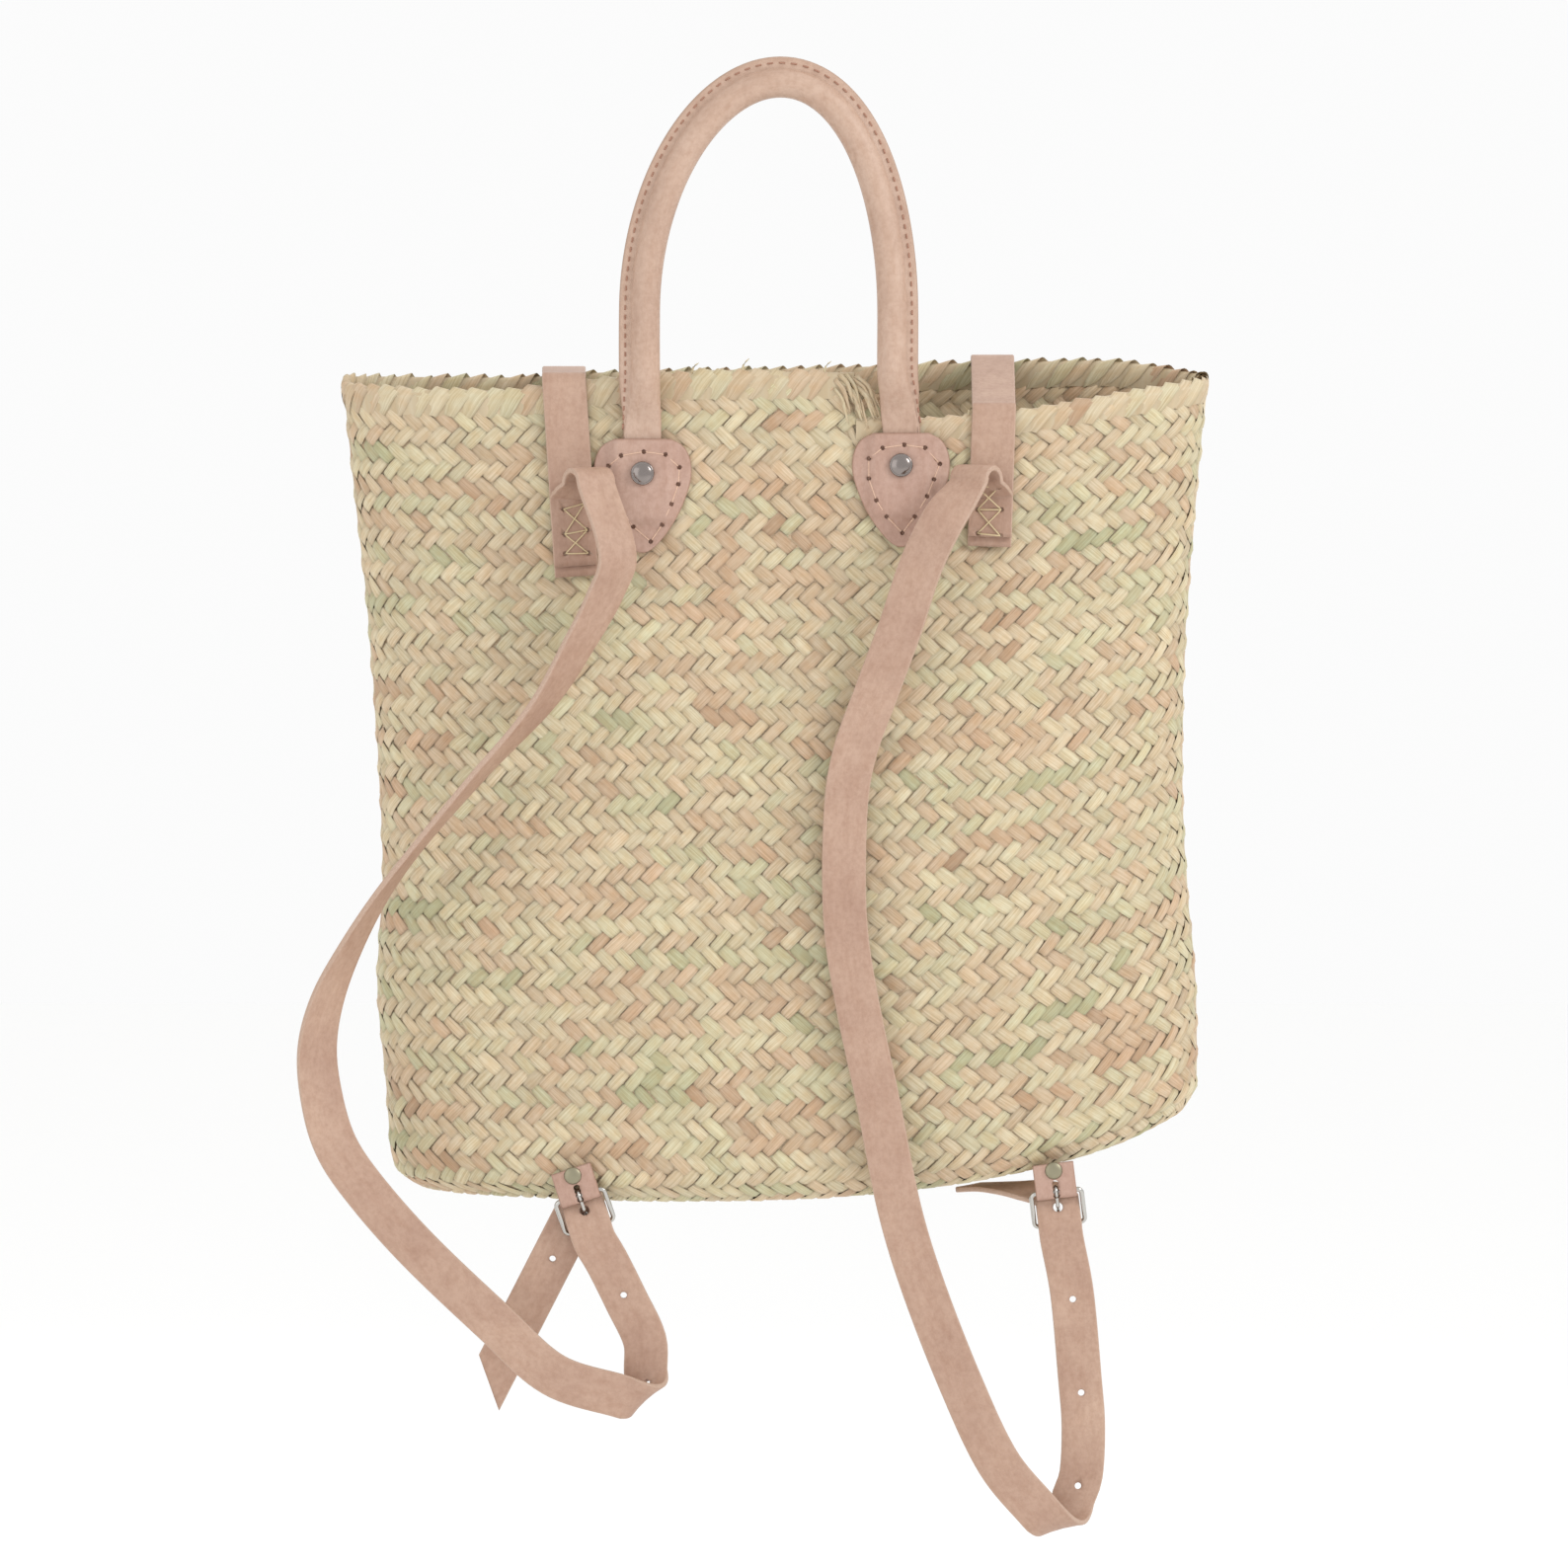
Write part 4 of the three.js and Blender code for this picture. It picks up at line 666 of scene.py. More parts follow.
# %% What differs between the sides
# Routes have rows of across, down, out, turn and tilt. A turn has across, down, its angle, the angle at
# which the strap crosses it, and its radius. A rear has rows of across, down, share of the way to the
# buckle's bar, and tilt. A buckle has across, its bar's rise, the height where it is seated, and its roll.
# The right tail has rows of shares aside, back and down, then turn and tilt.
LEFT = {
    "name": "left", "sign": -1, "tab_reach": 1.0222, "tab_down": LEFT_TAB_DOWN, "rivet_down": 0.3,
    "near_end": -0.452, "near_rim": -0.482, "far_rim": -0.49, "over_down": 0.238, "stitched": 0.225,
    "fold_across": -0.424, "fold_down": 0.105, "fold_turn": 34,
    "route": [
        (-0.357, 0.209, 0.125, 34, 0), (-0.385, 0.257, 0.1, 36, 0), (-0.44, 0.312, 0.085, 42, 4),
        (-0.53, 0.39, 0.085, 52, 8), (-0.675, 0.476, 0.095, 62, 10), (-0.806, 0.557, 0.09, 68, 10),
        (-0.893, 0.618, 0.06, 66, 8), (-0.965, 0.682, 0.03, 58, 4), (-1.022, 0.748, 0.01, 44, 0),
        (-1.046, 0.809, 0.0, 32, 0), (-1.035, 0.87, 0.01, 20, 6), (-1.004, 0.925, 0.02, 10, 12),
        (-0.943, 0.974, 0.04, 4, 20), (-0.822, 1.047, 0.06, 0, 28), (-0.642, 1.138, 0.075, 0, 34),
        (-0.506, 1.202, 0.08, 0, 38),
    ],
    "turn": (-0.296, 1.232, 42, 60, 8),
    "rear": [(-0.298, 1.165, 0.3, 30), (-0.34, 1.117, 0.6, 26), (-0.385, 1.069, 1.0, 22)],
    "buckle": (-0.447, 4, 14, 18),
}
RIGHT = {
    "name": "right", "sign": 1, "tab_reach": 1.073, "tab_down": 0.0645, "rivet_down": 0.28,
    "near_end": 0.491, "near_rim": 0.502, "far_rim": 0.506, "over_down": 0.202, "stitched": 0.19,
    "fold_across": 0.46, "fold_down": 0.102, "fold_turn": -34,
    "route": [
        (0.385, 0.165, 0.135, -20, -24), (0.333, 0.222, 0.115, -14, -20), (0.285, 0.299, 0.09, -8, -16),
        (0.233, 0.374, 0.07, -4, -14), (0.182, 0.45, 0.06, 0, -10), (0.162, 0.52, 0.055, 0, -4),
        (0.161, 0.65, 0.055, 0, 2), (0.188, 0.75, 0.055, 0, 8), (0.236, 0.87, 0.06, 0, 11),
        (0.284, 0.998, 0.07, 0, 13), (0.338, 1.093, 0.08, 0, 17), (0.426, 1.213, 0.085, 0, 20),
        (0.512, 1.309, 0.085, 0, 22),
    ],
    "turn": (0.659, 1.389, 15, 62, 10),
    "rear": [(0.704, 1.33, 0.2, 4), (0.709, 1.27, 0.4, 2), (0.701, 1.213, 0.6, 2), (0.683, 1.11, 0.95, 4)],
    "buckle": (0.646, -8, 6, 7),
}
RIGHT_TAIL = [
    (0.0, 1.1, 1.0, 4, 4), (0.08, 1.5, 0.75, 24, 14), (0.2, 2.0, 0.52, 44, 16),
    (0.35, 2.6, 0.32, 52, 8), (0.52, 3.4, 0.18, 54, 2), (0.68, 4.2, 0.16, 54, 2),
]
SIDES = (LEFT, RIGHT)
STRAP_WIDTH, STRAP_LEATHER_MM, FOLD_RADIUS = 20.0, 2.6, 6.5
BUCKLE_TAB_WIDTH, BUCKLE_TAB_HEIGHT, BUCKLE_TAB_MM = 18.8, 13.0, 1.8
WIRE, PRONG, BUCKLE_LENGTH, BUCKLE_WIDTH = 1.1, 0.9, 16.4, 25.4
TAIL_LENGTH, TAIL_POINT, TAIL_DROP, TAIL_RADIUS, TAIL_LEAN, UNDER_TAIL = 104, 19, 3.4, 2.8, 27, 58
OVER_LIFT, OVER_ROWS, MOUTH_INSET = GAP * 1.6 + STRAP_LEATHER_MM / 2, 14, 6


def near_clear(x, z, reach):
    """Foremost y of the near wall within reach of x, so that a flat piece clears it."""
    return min(float(near_face(x + reach * share, z)) for share in (-1, -0.5, 0, 0.5, 1))


def far_clear(x, z, reach):
    """Rearmost y of the far wall, which mirrors the near one without its dents."""
    return max(-float(near_face(x + reach * share, z) - dent_at(x / HALF_MOUTH, -z / HEIGHT))
               for share in (-1, -0.5, 0, 0.5, 1))


def rim_height(across, near):
    """Height of the rim of the near or the far wall; right of the braid's end it is a step lower."""
    height = BRAID_STEP * follow(RIM, "across", "near" if near else "far", across)
    return float(height - np.where(near & (across > STEP_ACROSS), BRAID_STEP, 0))


def rim_clear(across, near, reach):
    return max(rim_height(across + reach * share / HALF_MOUTH, near) for share in np.linspace(-1.2, 1.2, 7))


print("left strap's route has", len(LEFT["route"]), "stations and the right one", len(RIGHT["route"]))

# %% [markdown]
# ## Straps over the rim
# A plain strip of leather rises over the near wall, crosses the mouth and is sewn down the far wall. It
# carries the shoulder strap, so the load goes into the whole wall and not into the edge of the straw.

# %% Straps over the rim
def over_middle(side, z):
    """The strap's x at a height of the near wall, between its sewn end and the rim."""
    top, bottom = rim_clear(side["near_rim"], True, STRAP_WIDTH / 2), -HEIGHT * side["over_down"]
    share = (z - bottom) / (top - bottom)
    return HALF_MOUTH * (side["near_end"] + (side["near_rim"] - side["near_end"]) * share)


def over_strap(side):
    """A strip from its sewn end on the near wall, over the rim, to its sewn end on the far wall."""
    lift, half = OVER_LIFT, STRAP_WIDTH / 2
    near_top, far_top = rim_clear(side["near_rim"], True, half), rim_clear(side["far_rim"], False, half)
    bottom = -HEIGHT * side["over_down"]
    rows = []
    for z in np.linspace(bottom, near_top, OVER_ROWS):
        x = over_middle(side, z)
        rows.append((x, near_clear(x, z, half) - lift, z))
    near_x, far_x = HALF_MOUTH * side["near_rim"], HALF_MOUTH * side["far_rim"]
    near_y, far_y = near_clear(near_x, near_top, half), far_clear(far_x, far_top, half)
    corner = np.radians([25, 50, 75, 90])
    rows += [(near_x, near_y - lift * np.cos(a), near_top + lift * np.sin(a)) for a in corner]
    rows += [(near_x, near_y + MOUTH_INSET, near_top + lift)]
    rows += [((near_x + far_x) / 2, (near_y + far_y) / 2, (near_top + far_top) / 2 + lift)]
    rows += [(far_x, far_y - MOUTH_INSET, far_top + lift)]
    rows += [(far_x, far_y + lift * np.cos(a), far_top + lift * np.sin(a)) for a in corner[::-1]]
    for z in np.linspace(far_top, bottom, OVER_ROWS):
        rows.append((far_x, far_clear(far_x, z, half) + lift, z))
    stations = [(*row, 1, 0, 0) for row in rows]
    centres, across = through(stations, 3)
    name = "over_strap_" + side["name"]
    strap("sewn_" + name, centres, across, STRAP_WIDTH, STRAP_LEATHER_MM, STRAP_LEATHER,
          [name])


for side in SIDES:
    over_strap(side)

# %% [markdown]
# ## Buckles' places
# Each buckle turns on a heel bar, held by a folded leather tab that is riveted to the lower edge of the
# near wall. Its own axes make its parts easy to place: u along the bar, v up and n out of the wall.

# %% Axes of a buckle
TAB_BEND = WIRE + GAP + BUCKLE_TAB_MM / 2
TAB_PRESS = (BUCKLE_TAB_MM + GAP) / 2
STRAP_AT_HEEL = -(WIRE + GAP * 2 + BUCKLE_TAB_MM + STRAP_LEATHER_MM / 2)
STRAP_AT_BAR = WIRE + GAP + STRAP_LEATHER_MM / 2
FRAME_PITCH = np.arctan2(STRAP_AT_BAR - STRAP_AT_HEEL, BUCKLE_LENGTH) * 0.75


def buckle_axes(side):
    """Origin on the heel bar and the directions u, v and n as the rows of a matrix."""
    across, rise, seat_rise, roll = side["buckle"]
    x, base = HALF_MOUTH * across, float(base_at(across))
    seat = near_clear(x, base + seat_rise, BUCKLE_TAB_WIDTH / 2)
    r = np.radians(roll)
    rows = np.array([(np.cos(r), 0, np.sin(r)), (-np.sin(r), 0, np.cos(r)), (0, -1, 0)])
    return np.array([x, seat - GAP * 1.5 - BUCKLE_TAB_MM, base + rise]), rows


def in_buckle(side, points):
    origin, rows = buckle_axes(side)
    return origin + np.asarray(points, float) @ rows


def frame_point(u, v, n=0.0):
    """A point of the frame's own plane, which is pitched about the heel bar."""
    c, s = np.cos(FRAME_PITCH), np.sin(FRAME_PITCH)
    return np.array([u, v * c - n * s, v * s + n * c])


def strap_depth(v):
    """How far out of the wall the strap's middle is at v on its way through the buckle."""
    share = np.clip(-v / BUCKLE_LENGTH, 0, 1)
    return STRAP_AT_HEEL + (frame_point(0, -BUCKLE_LENGTH)[2] + STRAP_AT_BAR - STRAP_AT_HEEL) * share


PRONG_HOLE = -BUCKLE_LENGTH * 0.46
print("the frame is pitched by", round(float(np.degrees(FRAME_PITCH)), 1), "degrees")

# %% [markdown]
# ## Shoulder straps
# Each strap is sewn over the strap on the rim, folds forward over itself, hangs down in front of the
# bag, turns back under it and comes up through the buckle. Its free tail goes behind. A list of the
# stations of these stages, in order, is all that the curve needs.

# %% Stations of a shoulder strap
def sewn_stage(side):
    """The end that is sewn flat over the strap on the rim."""
    rows = []
    for z in np.linspace(-HEIGHT * side["stitched"], -HEIGHT * side["fold_down"] - FOLD_RADIUS * 2.3, 5):
        x = over_middle(side, z)
        y = near_clear(x, z, STRAP_WIDTH / 2) - GAP * 3 - STRAP_LEATHER_MM * 1.5
        rows.append((x, y, z, *width_direction(0, 0)))
    return rows


def fold_stage(side, last):
    """The fold forward over itself, round a rod of the fold's radius."""
    axis = width_direction(side["fold_turn"], 0)
    forward = np.array([axis[1], -axis[0], 0])

    def edge_reach(share):
        return np.sin(abs(np.radians(side["fold_turn"])) * share) * STRAP_WIDTH / 2

    z = -HEIGHT * side["fold_down"] - FOLD_RADIUS - STRAP_LEATHER_MM / 2
    centre = np.array([HALF_MOUTH * side["fold_across"],
                       last[1] - edge_reach(1) - GAP * 3 - FOLD_RADIUS * axis[0], z])
    start = centre - forward * FOLD_RADIUS
    rows = []
    for share in (0.25, 0.5, 0.75):
        point = np.array(last) * (1 - share) + start * share
        rows.append((point[0], last[1] - edge_reach(share) - GAP * 3, point[2],
                     *width_direction(side["fold_turn"] * share, 0)))
    for angle in np.linspace(np.pi, 0, 8):
        point = centre + forward * np.cos(angle) * FOLD_RADIUS + np.array([0, 0, np.sin(angle) * FOLD_RADIUS])
        rows.append((*point, *axis))
    return rows


def hanging_stage(side):
    """The hang in front of the bag, out in front of the wall by a share of the depth."""
    rows = []
    for across, down, out, turn, tilt in side["route"]:
        y = -HALF_BELLY - STRAP_LEATHER_MM - 2 * HALF_BELLY * out
        rows.append((HALF_MOUTH * across, y, -HEIGHT * down, *width_direction(turn, tilt)))
    return rows


def turning_stage(side):
    """The fold below: a helix at the angle ψ to the fold's axis, as flat leather wraps round a rod."""
    across, down, angle, crossing, radius = side["turn"]
    a, psi = np.radians(angle), np.radians(crossing)
    axis, below, back = np.array([(np.cos(a), 0, np.sin(a)), (np.sin(a), 0, -np.cos(a)), (0, 1, 0)])
    middle = -HALF_BELLY - STRAP_LEATHER_MM
    centre = np.array([HALF_MOUTH * across, middle, -HEIGHT * down]) - below * radius
    rows = []
    for bend in np.linspace(0, np.pi, 9):
        slide = radius * (bend - np.pi / 2) / np.tan(psi)
        point = centre + (below * np.sin(bend) - back * np.cos(bend)) * radius + axis * slide
        ahead = below * np.cos(bend) + back * np.sin(bend)
        rows.append((*point, *(axis * np.sin(psi) - ahead * np.cos(psi))))
    at_bar = in_buckle(side, (0, -BUCKLE_LENGTH, strap_depth(-BUCKLE_LENGTH)))[1]
    for across, down, share, tilt in side["rear"]:
        y = (middle + radius) * (1 - share) + at_bar * share
        rows.append((HALF_MOUTH * across, y, -HEIGHT * down, *width_direction(0, tilt)))
    return rows


def buckle_stage(side):
    """The way up through the buckle: behind its far bar and in front of its heel bar."""
    bar = frame_point(0, -BUCKLE_LENGTH)[1]
    across = buckle_axes(side)[1][0]
    rows = []
    for v in (bar - BUCKLE_LENGTH * 0.4, bar, bar * 0.72, PRONG_HOLE, bar * 0.3, -TAIL_DROP):
        straight = (v - bar) * 0.2 if v < bar else 0
        rows.append((*in_buckle(side, (0, v, strap_depth(v) + straight)), *across))
    return rows


def left_tail(side):
    """The tail that turns back over the heel bar and hangs down behind the strap."""
    rows = []
    for share in (0.25, 0.5, 0.75, 1):
        bend = np.pi * share
        point = (0, np.sin(bend) * TAIL_RADIUS - TAIL_DROP,
                 strap_depth(-TAIL_DROP) + (np.cos(bend) - 1) * TAIL_RADIUS)
        tilt = side["buckle"][3] * (1 - share) - TAIL_LEAN * share
        rows.append((*in_buckle(side, point), *width_direction(0, tilt)))
    lean, turned_end = np.radians(TAIL_LEAN), np.array(rows[-1][:3])
    along = np.array([-np.sin(lean), 0.05, -np.cos(lean)])
    for share in (0.12, 0.34, 0.56, 0.79, 1):
        rows.append((*(turned_end + along * TAIL_LENGTH * share), *width_direction(0, -TAIL_LEAN)))
    return rows


def right_tail(side):
    """The tail behind the buckle, which goes back and a little aside under the base."""
    origin = buckle_axes(side)[0]
    rows = []
    for aside, back, drop, turn, tilt in RIGHT_TAIL:
        x = origin[0] - UNDER_TAIL * aside
        z = float(base_at(x / HALF_MOUTH)) - GAP - STRAP_LEATHER_MM / 2 - STRAP_WIDTH * drop / 2
        rows.append((x, origin[1] + EDGE_RADIUS * back * 0.5, z, *width_direction(turn, tilt)))
    return rows


# %% Shoulder straps with punched holes
def punch(piece, rods):
    """Cuts rods (start, end, radius in mm) out of a piece with an exact Boolean."""
    cutters = []
    for start, end, radius in rods:
        start, end = [(np.array(p) - HANG_POINT) * METRES for p in (start, end)]
        along = Vector(end - start)
        bpy.ops.mesh.primitive_cylinder_add(vertices=20, radius=radius * METRES, depth=along.length)
        cutter = bpy.context.object
        cutter.rotation_euler = along.to_track_quat("Z", "Y").to_euler()
        cutter.location = Vector((start + end) / 2)
        cutters.append(cutter)
        modifier = piece.modifiers.new("hole", "BOOLEAN")
        modifier.object, modifier.solver = cutter, "EXACT"
    bpy.context.view_layer.update()
    evaluated = piece.evaluated_get(bpy.context.evaluated_depsgraph_get())
    mesh = bpy.data.meshes.new_from_object(evaluated)
    piece.modifiers.clear()
    piece.data = mesh
    for cutter in cutters:
        bpy.data.objects.remove(cutter)


HOLE_PITCH, HOLE_RADIUS, HOLE_REACH, STRAP_CUP = 43.0, 1.5, 4, 0.12


def shoulder_strap(side):
    """One whole strap with its punched holes, and the centres that it follows."""
    is_left = side["sign"] < 0
    sewn = sewn_stage(side)
    stations = sewn + fold_stage(side, sewn[-1][:3]) + hanging_stage(side) + turning_stage(side)
    stations += buckle_stage(side) + (left_tail(side) if is_left else right_tail(side))
    centres, across = through(stations, 3.2)
    name = "shoulder_strap_" + side["name"]
    piece, length, facing = strap(
        "hanging_" + name, centres, across, STRAP_WIDTH, STRAP_LEATHER_MM, STRAP_LEATHER,
        [name], point=TAIL_POINT if is_left else 0, cup=STRAP_CUP)
    middle = in_buckle(side, (0, PRONG_HOLE, strap_depth(PRONG_HOLE)))
    used = int(np.argmin(np.linalg.norm(centres - middle, axis=1)))
    rods = []
    for place in ((-2, -1, 0, 1) if is_left else (-3, -2, -1, 0)):
        at = length[used] + place * HOLE_PITCH
        centre = [np.interp(at, length, centres[:, axis]) for axis in range(3)]
        normal = facing[int(np.argmin(np.abs(length - at)))]
        radius = HOLE_RADIUS if place else HOLE_RADIUS + GAP * 2.4
        rods.append((centre - normal * HOLE_REACH, centre + normal * HOLE_REACH, radius))
    punch(piece, rods)
    return piece, centres


SHOULDER = {side["name"]: shoulder_strap(side) for side in SIDES}

# %% [markdown]
# ## The rolled handle
# A strip of leather is rolled round a core and its edges are sewn together, so the tube carries a flat
# welt along its outer side. Its ends are pressed flat under the tabs. One number, flat, goes from 0 on
# the tube to 1 on the pressed end and mixes the two sections.

# %% Handle
WELT_WIDTH, WELT_MM, TONGUE_WIDTH, TONGUE_MM, ROUND_POINTS = 5.0, 2.6, 17.0, 3.2, 27
TONGUE_TAPER, TONGUE_SHOW, TONGUE_REACH = 26.0, 2.0, 0.62
TAB_WIDTH, TAB_HEIGHT, TAB_MM = 44.6, 52.0, 2.2


def tab_middle(side):
    """x of a handle tab's middle."""
    return HANDLE_SHIFT + side["sign"] * side["tab_reach"] * HANDLE_SPAN / 2


def mix(first, second, share):
    return first * (1 - share) + second * share


def handle_leg(side):
    top, x = -HEIGHT * side["tab_down"], tab_middle(side)
    rows = [(x, 0, top - TAB_HEIGHT * TONGUE_REACH * share, 1) for share in (1, 0.75, 0.5, 0.25)]
    rows.append((x, 0, top + TONGUE_SHOW, 1))
    for share in (0.3, 0.6, 1):
        wide = mix(x, HANDLE_SHIFT + side["sign"] * HANDLE_SPAN / 2, share)
        rows.append((wide, 0, top + TONGUE_SHOW + TONGUE_TAPER * share, 1 - float(smooth(share))))
    return rows


def arch_row(angle):
    rise = np.sin(angle)
    x = HANDLE_SHIFT + np.cos(angle) * HANDLE_SPAN / 2 + HANDLE_LEAN * rise**2
    return x, 0, HANDLE_RISE - HANDLE_ARCH + HANDLE_ARCH * rise, 0


def tongue_plane(x, z):
    """Middle plane of the handle's pressed end, which lies on the wall."""
    return near_face(x, np.minimum(z, -2)) - GAP - TONGUE_MM / 2


arch = [arch_row(angle) for angle in np.linspace(np.pi, 0, 25)]
handle_rows = handle_leg(LEFT) + arch + handle_leg(RIGHT)[::-1]
handle_centres, extra = through([(*row, 0, 0) for row in handle_rows], 2.2)
flat = extra[:, 0]
start_angle = np.arcsin(WELT_MM / 2 / TUBE_RADIUS)
bend = np.linspace(start_angle, 2 * np.pi - start_angle, ROUND_POINTS)


def handle_section(flat):
    """Section from the tube with its welt, where flat is 0, to the pressed end, where it is 1."""
    round_out, round_in = TUBE_RADIUS * np.cos(bend), TUBE_RADIUS * np.sin(bend)
    press = np.clip(np.sin(bend) * 4, -1, 1) * TONGUE_MM / 2
    out, through_leather = mix(round_out, TONGUE_WIDTH / 2 * np.cos(bend), flat), mix(round_in, press, flat)
    reach = mix(TUBE_RADIUS + WELT_WIDTH, TONGUE_WIDTH / 2 + GAP, flat)
    half = mix(WELT_MM, TONGUE_MM, flat) / 2
    lip = [(reach - 1.4, -half), (reach - 0.6, -half), (reach, -half * 0.5), (reach + 0.1, 0),
           (reach, half * 0.5), (reach - 0.6, half), (reach - 1.4, half)]
    return np.concatenate([np.stack([out, through_leather], 1), lip])


sections = np.array([handle_section(f) for f in flat])
along = unit(np.gradient(handle_centres, axis=0))
outward = np.stack([-along[:, 2], 0 * flat, along[:, 0]], 1)
grid = handle_centres[:, None] + outward[:, None] * sections[..., :1]
grid[..., 1] = mix(HANDLE_PLANE, tongue_plane(grid[..., 0], grid[..., 2]), flat[:, None]) + sections[..., 1]
handle_length = length_along(handle_centres)
fibre = np.concatenate([np.repeat(handle_length[:, None, None], sections.shape[1], 1), sections], -1)
raw = np.repeat(np.append(np.zeros(ROUND_POINTS), [0, 0.3, 1, 1, 1, 0.3, 0])[None], len(flat), 0)
swept("rolled_handle", grid, fibre, raw, HANDLE_LEATHER, ["handle"])

# %% [markdown]
# ## Thread
# A stitch is a short length of twisted thread that comes out of one hole and goes into the next. Each
# is a small bowed tube, and all the stitches of one seam are one mesh.

# %% Stitches
def stitches(name, ends, normals, radius, material, bow=0.35, sink=0.7):
    """Tubes from ends[i][0] to ends[i][1], bowed by bow mm along normals[i] and sunk at both ends."""
    ends, normals = np.asarray(ends, float), np.asarray(normals, float)
    share = np.array([0, 0.12, 0.35, 0.65, 0.88, 1])
    height = np.array([-sink, bow * 0.4, bow, bow, bow * 0.4, -sink])
    angle = np.radians(np.arange(0, 360, 60))
    stitch = ends[:, 1] - ends[:, 0]
    length, along = np.linalg.norm(stitch, axis=1, keepdims=True), unit(stitch)
    side = unit(np.cross(along, normals))
    up = np.cross(side, along)
    core = ends[:, :1] + stitch[:, None] * share[None, :, None] + up[:, None] * height[None, :, None]
    ring = np.cos(angle)[None, :, None] * side[:, None] + np.sin(angle)[None, :, None] * up[:, None]
    grid = core[:, :, None] + ring[:, None] * radius
    count, rows, columns = grid.shape[:3]
    stride = rows * columns + 2
    points = np.concatenate([grid.reshape(count, -1, 3), core[:, :1], core[:, -1:]], 1)
    shift = (np.arange(count) * stride)[:, None, None]
    fibre = np.zeros((count, stride, 3))
    fibre[:, :rows * columns, 0] = np.repeat(share, columns)[None] * length
    faces = [(f[None] + shift).reshape(-1, f.shape[1]) for f in tube_faces(rows, columns)]
    build(name, points, faces, material, {"fibre": fibre.reshape(-1, 3)})


WELT_STITCH, WELT_SEAM, SEAM_MARGIN = 4.2, TUBE_RADIUS + 2.3, 36
places = np.arange(SEAM_MARGIN, handle_length[-1] - SEAM_MARGIN, WELT_STITCH)


def at_length(table, at):
    return np.stack([np.interp(at, handle_length, table[:, axis]) for axis in range(3)], -1)


ends, normals = [], []
for face in (-1, 1):
    seam = []
    for at in (places, places + WELT_STITCH * 0.6):
        points = at_length(handle_centres, at) + at_length(outward, at) * WELT_SEAM
        level = np.interp(at, handle_length, flat)
        plane = mix(HANDLE_PLANE, tongue_plane(points[:, 0], points[:, 2]), level)
        points[:, 1] = plane + face * mix(WELT_MM, TONGUE_MM, level) / 2
        seam.append(points)
    ends.append(np.stack(seam, 1))
    normals.append(np.tile([0, face, 0], (len(places), 1)))
stitches("welt_stitches", np.concatenate(ends), np.concatenate(normals), 0.4, WELT_THREAD,
         bow=0.12)

# %% [markdown]
# ## Handle tabs
# Each leather shield is sewn round its edge and bulges over the flat end of the handle, which shows
# through as a soft ridge. Its corners are rounded and its cut edge is a little darker.

# %% Handle tabs
TAB_OUTLINE = {
    "down": [0, 0.05, 0.13, 0.25, 0.38, 0.52, 0.66, 0.79, 0.9, 0.97, 1],
    "half": [0.56, 0.79, 0.93, 1, 0.98, 0.88, 0.74, 0.56, 0.36, 0.19, 0.06],
}
TAB_HOLES = {
    "left": [(-9.8, 7.7), (0.6, 5.9), (10.5, 7.2), (16.8, 13.1), (16.3, 20.7), (13.2, 29.7), (8.9, 39.2),
             (3.7, 46.8), (-4.2, 40.1), (-10, 31), (-14.5, 21.5), (-15.5, 12.5)],
    "right": [(-8.4, 6.8), (1.5, 5.4), (11, 6.8), (17.7, 14.2), (15, 21.2), (11.9, 28.8), (6.3, 38),
              (0.6, 45.5), (-6.6, 38), (-11.3, 30.6), (-14.7, 20.7), (-14.7, 11.7)],
}


TAB_COLUMNS, EDGE_ROUNDING, STITCH_HOLE, HOLE_MARGIN = 33, 0.9, 1.05, 0.9


def tab_height(side, down):
    """Height of a place down mm below the top of a handle tab."""
    return -HEIGHT * side["tab_down"] - down


def tab_bulge(side, x, z):
    """How far the tab is pushed out by the handle's end under it."""
    aside = np.abs(x - tab_middle(side)) - TONGUE_WIDTH / 2
    below = tab_height(side, TAB_HEIGHT * TONGUE_REACH) - z
    share = smooth(1 - (aside - 3) / 6) * smooth(1 - (below - 3) / 6)
    return (TONGUE_MM + GAP) * share


def tab_front(side, x, z):
    """y of the outer face of a handle tab."""
    return near_face(x, z) - GAP - tab_bulge(side, x, z) - TAB_MM


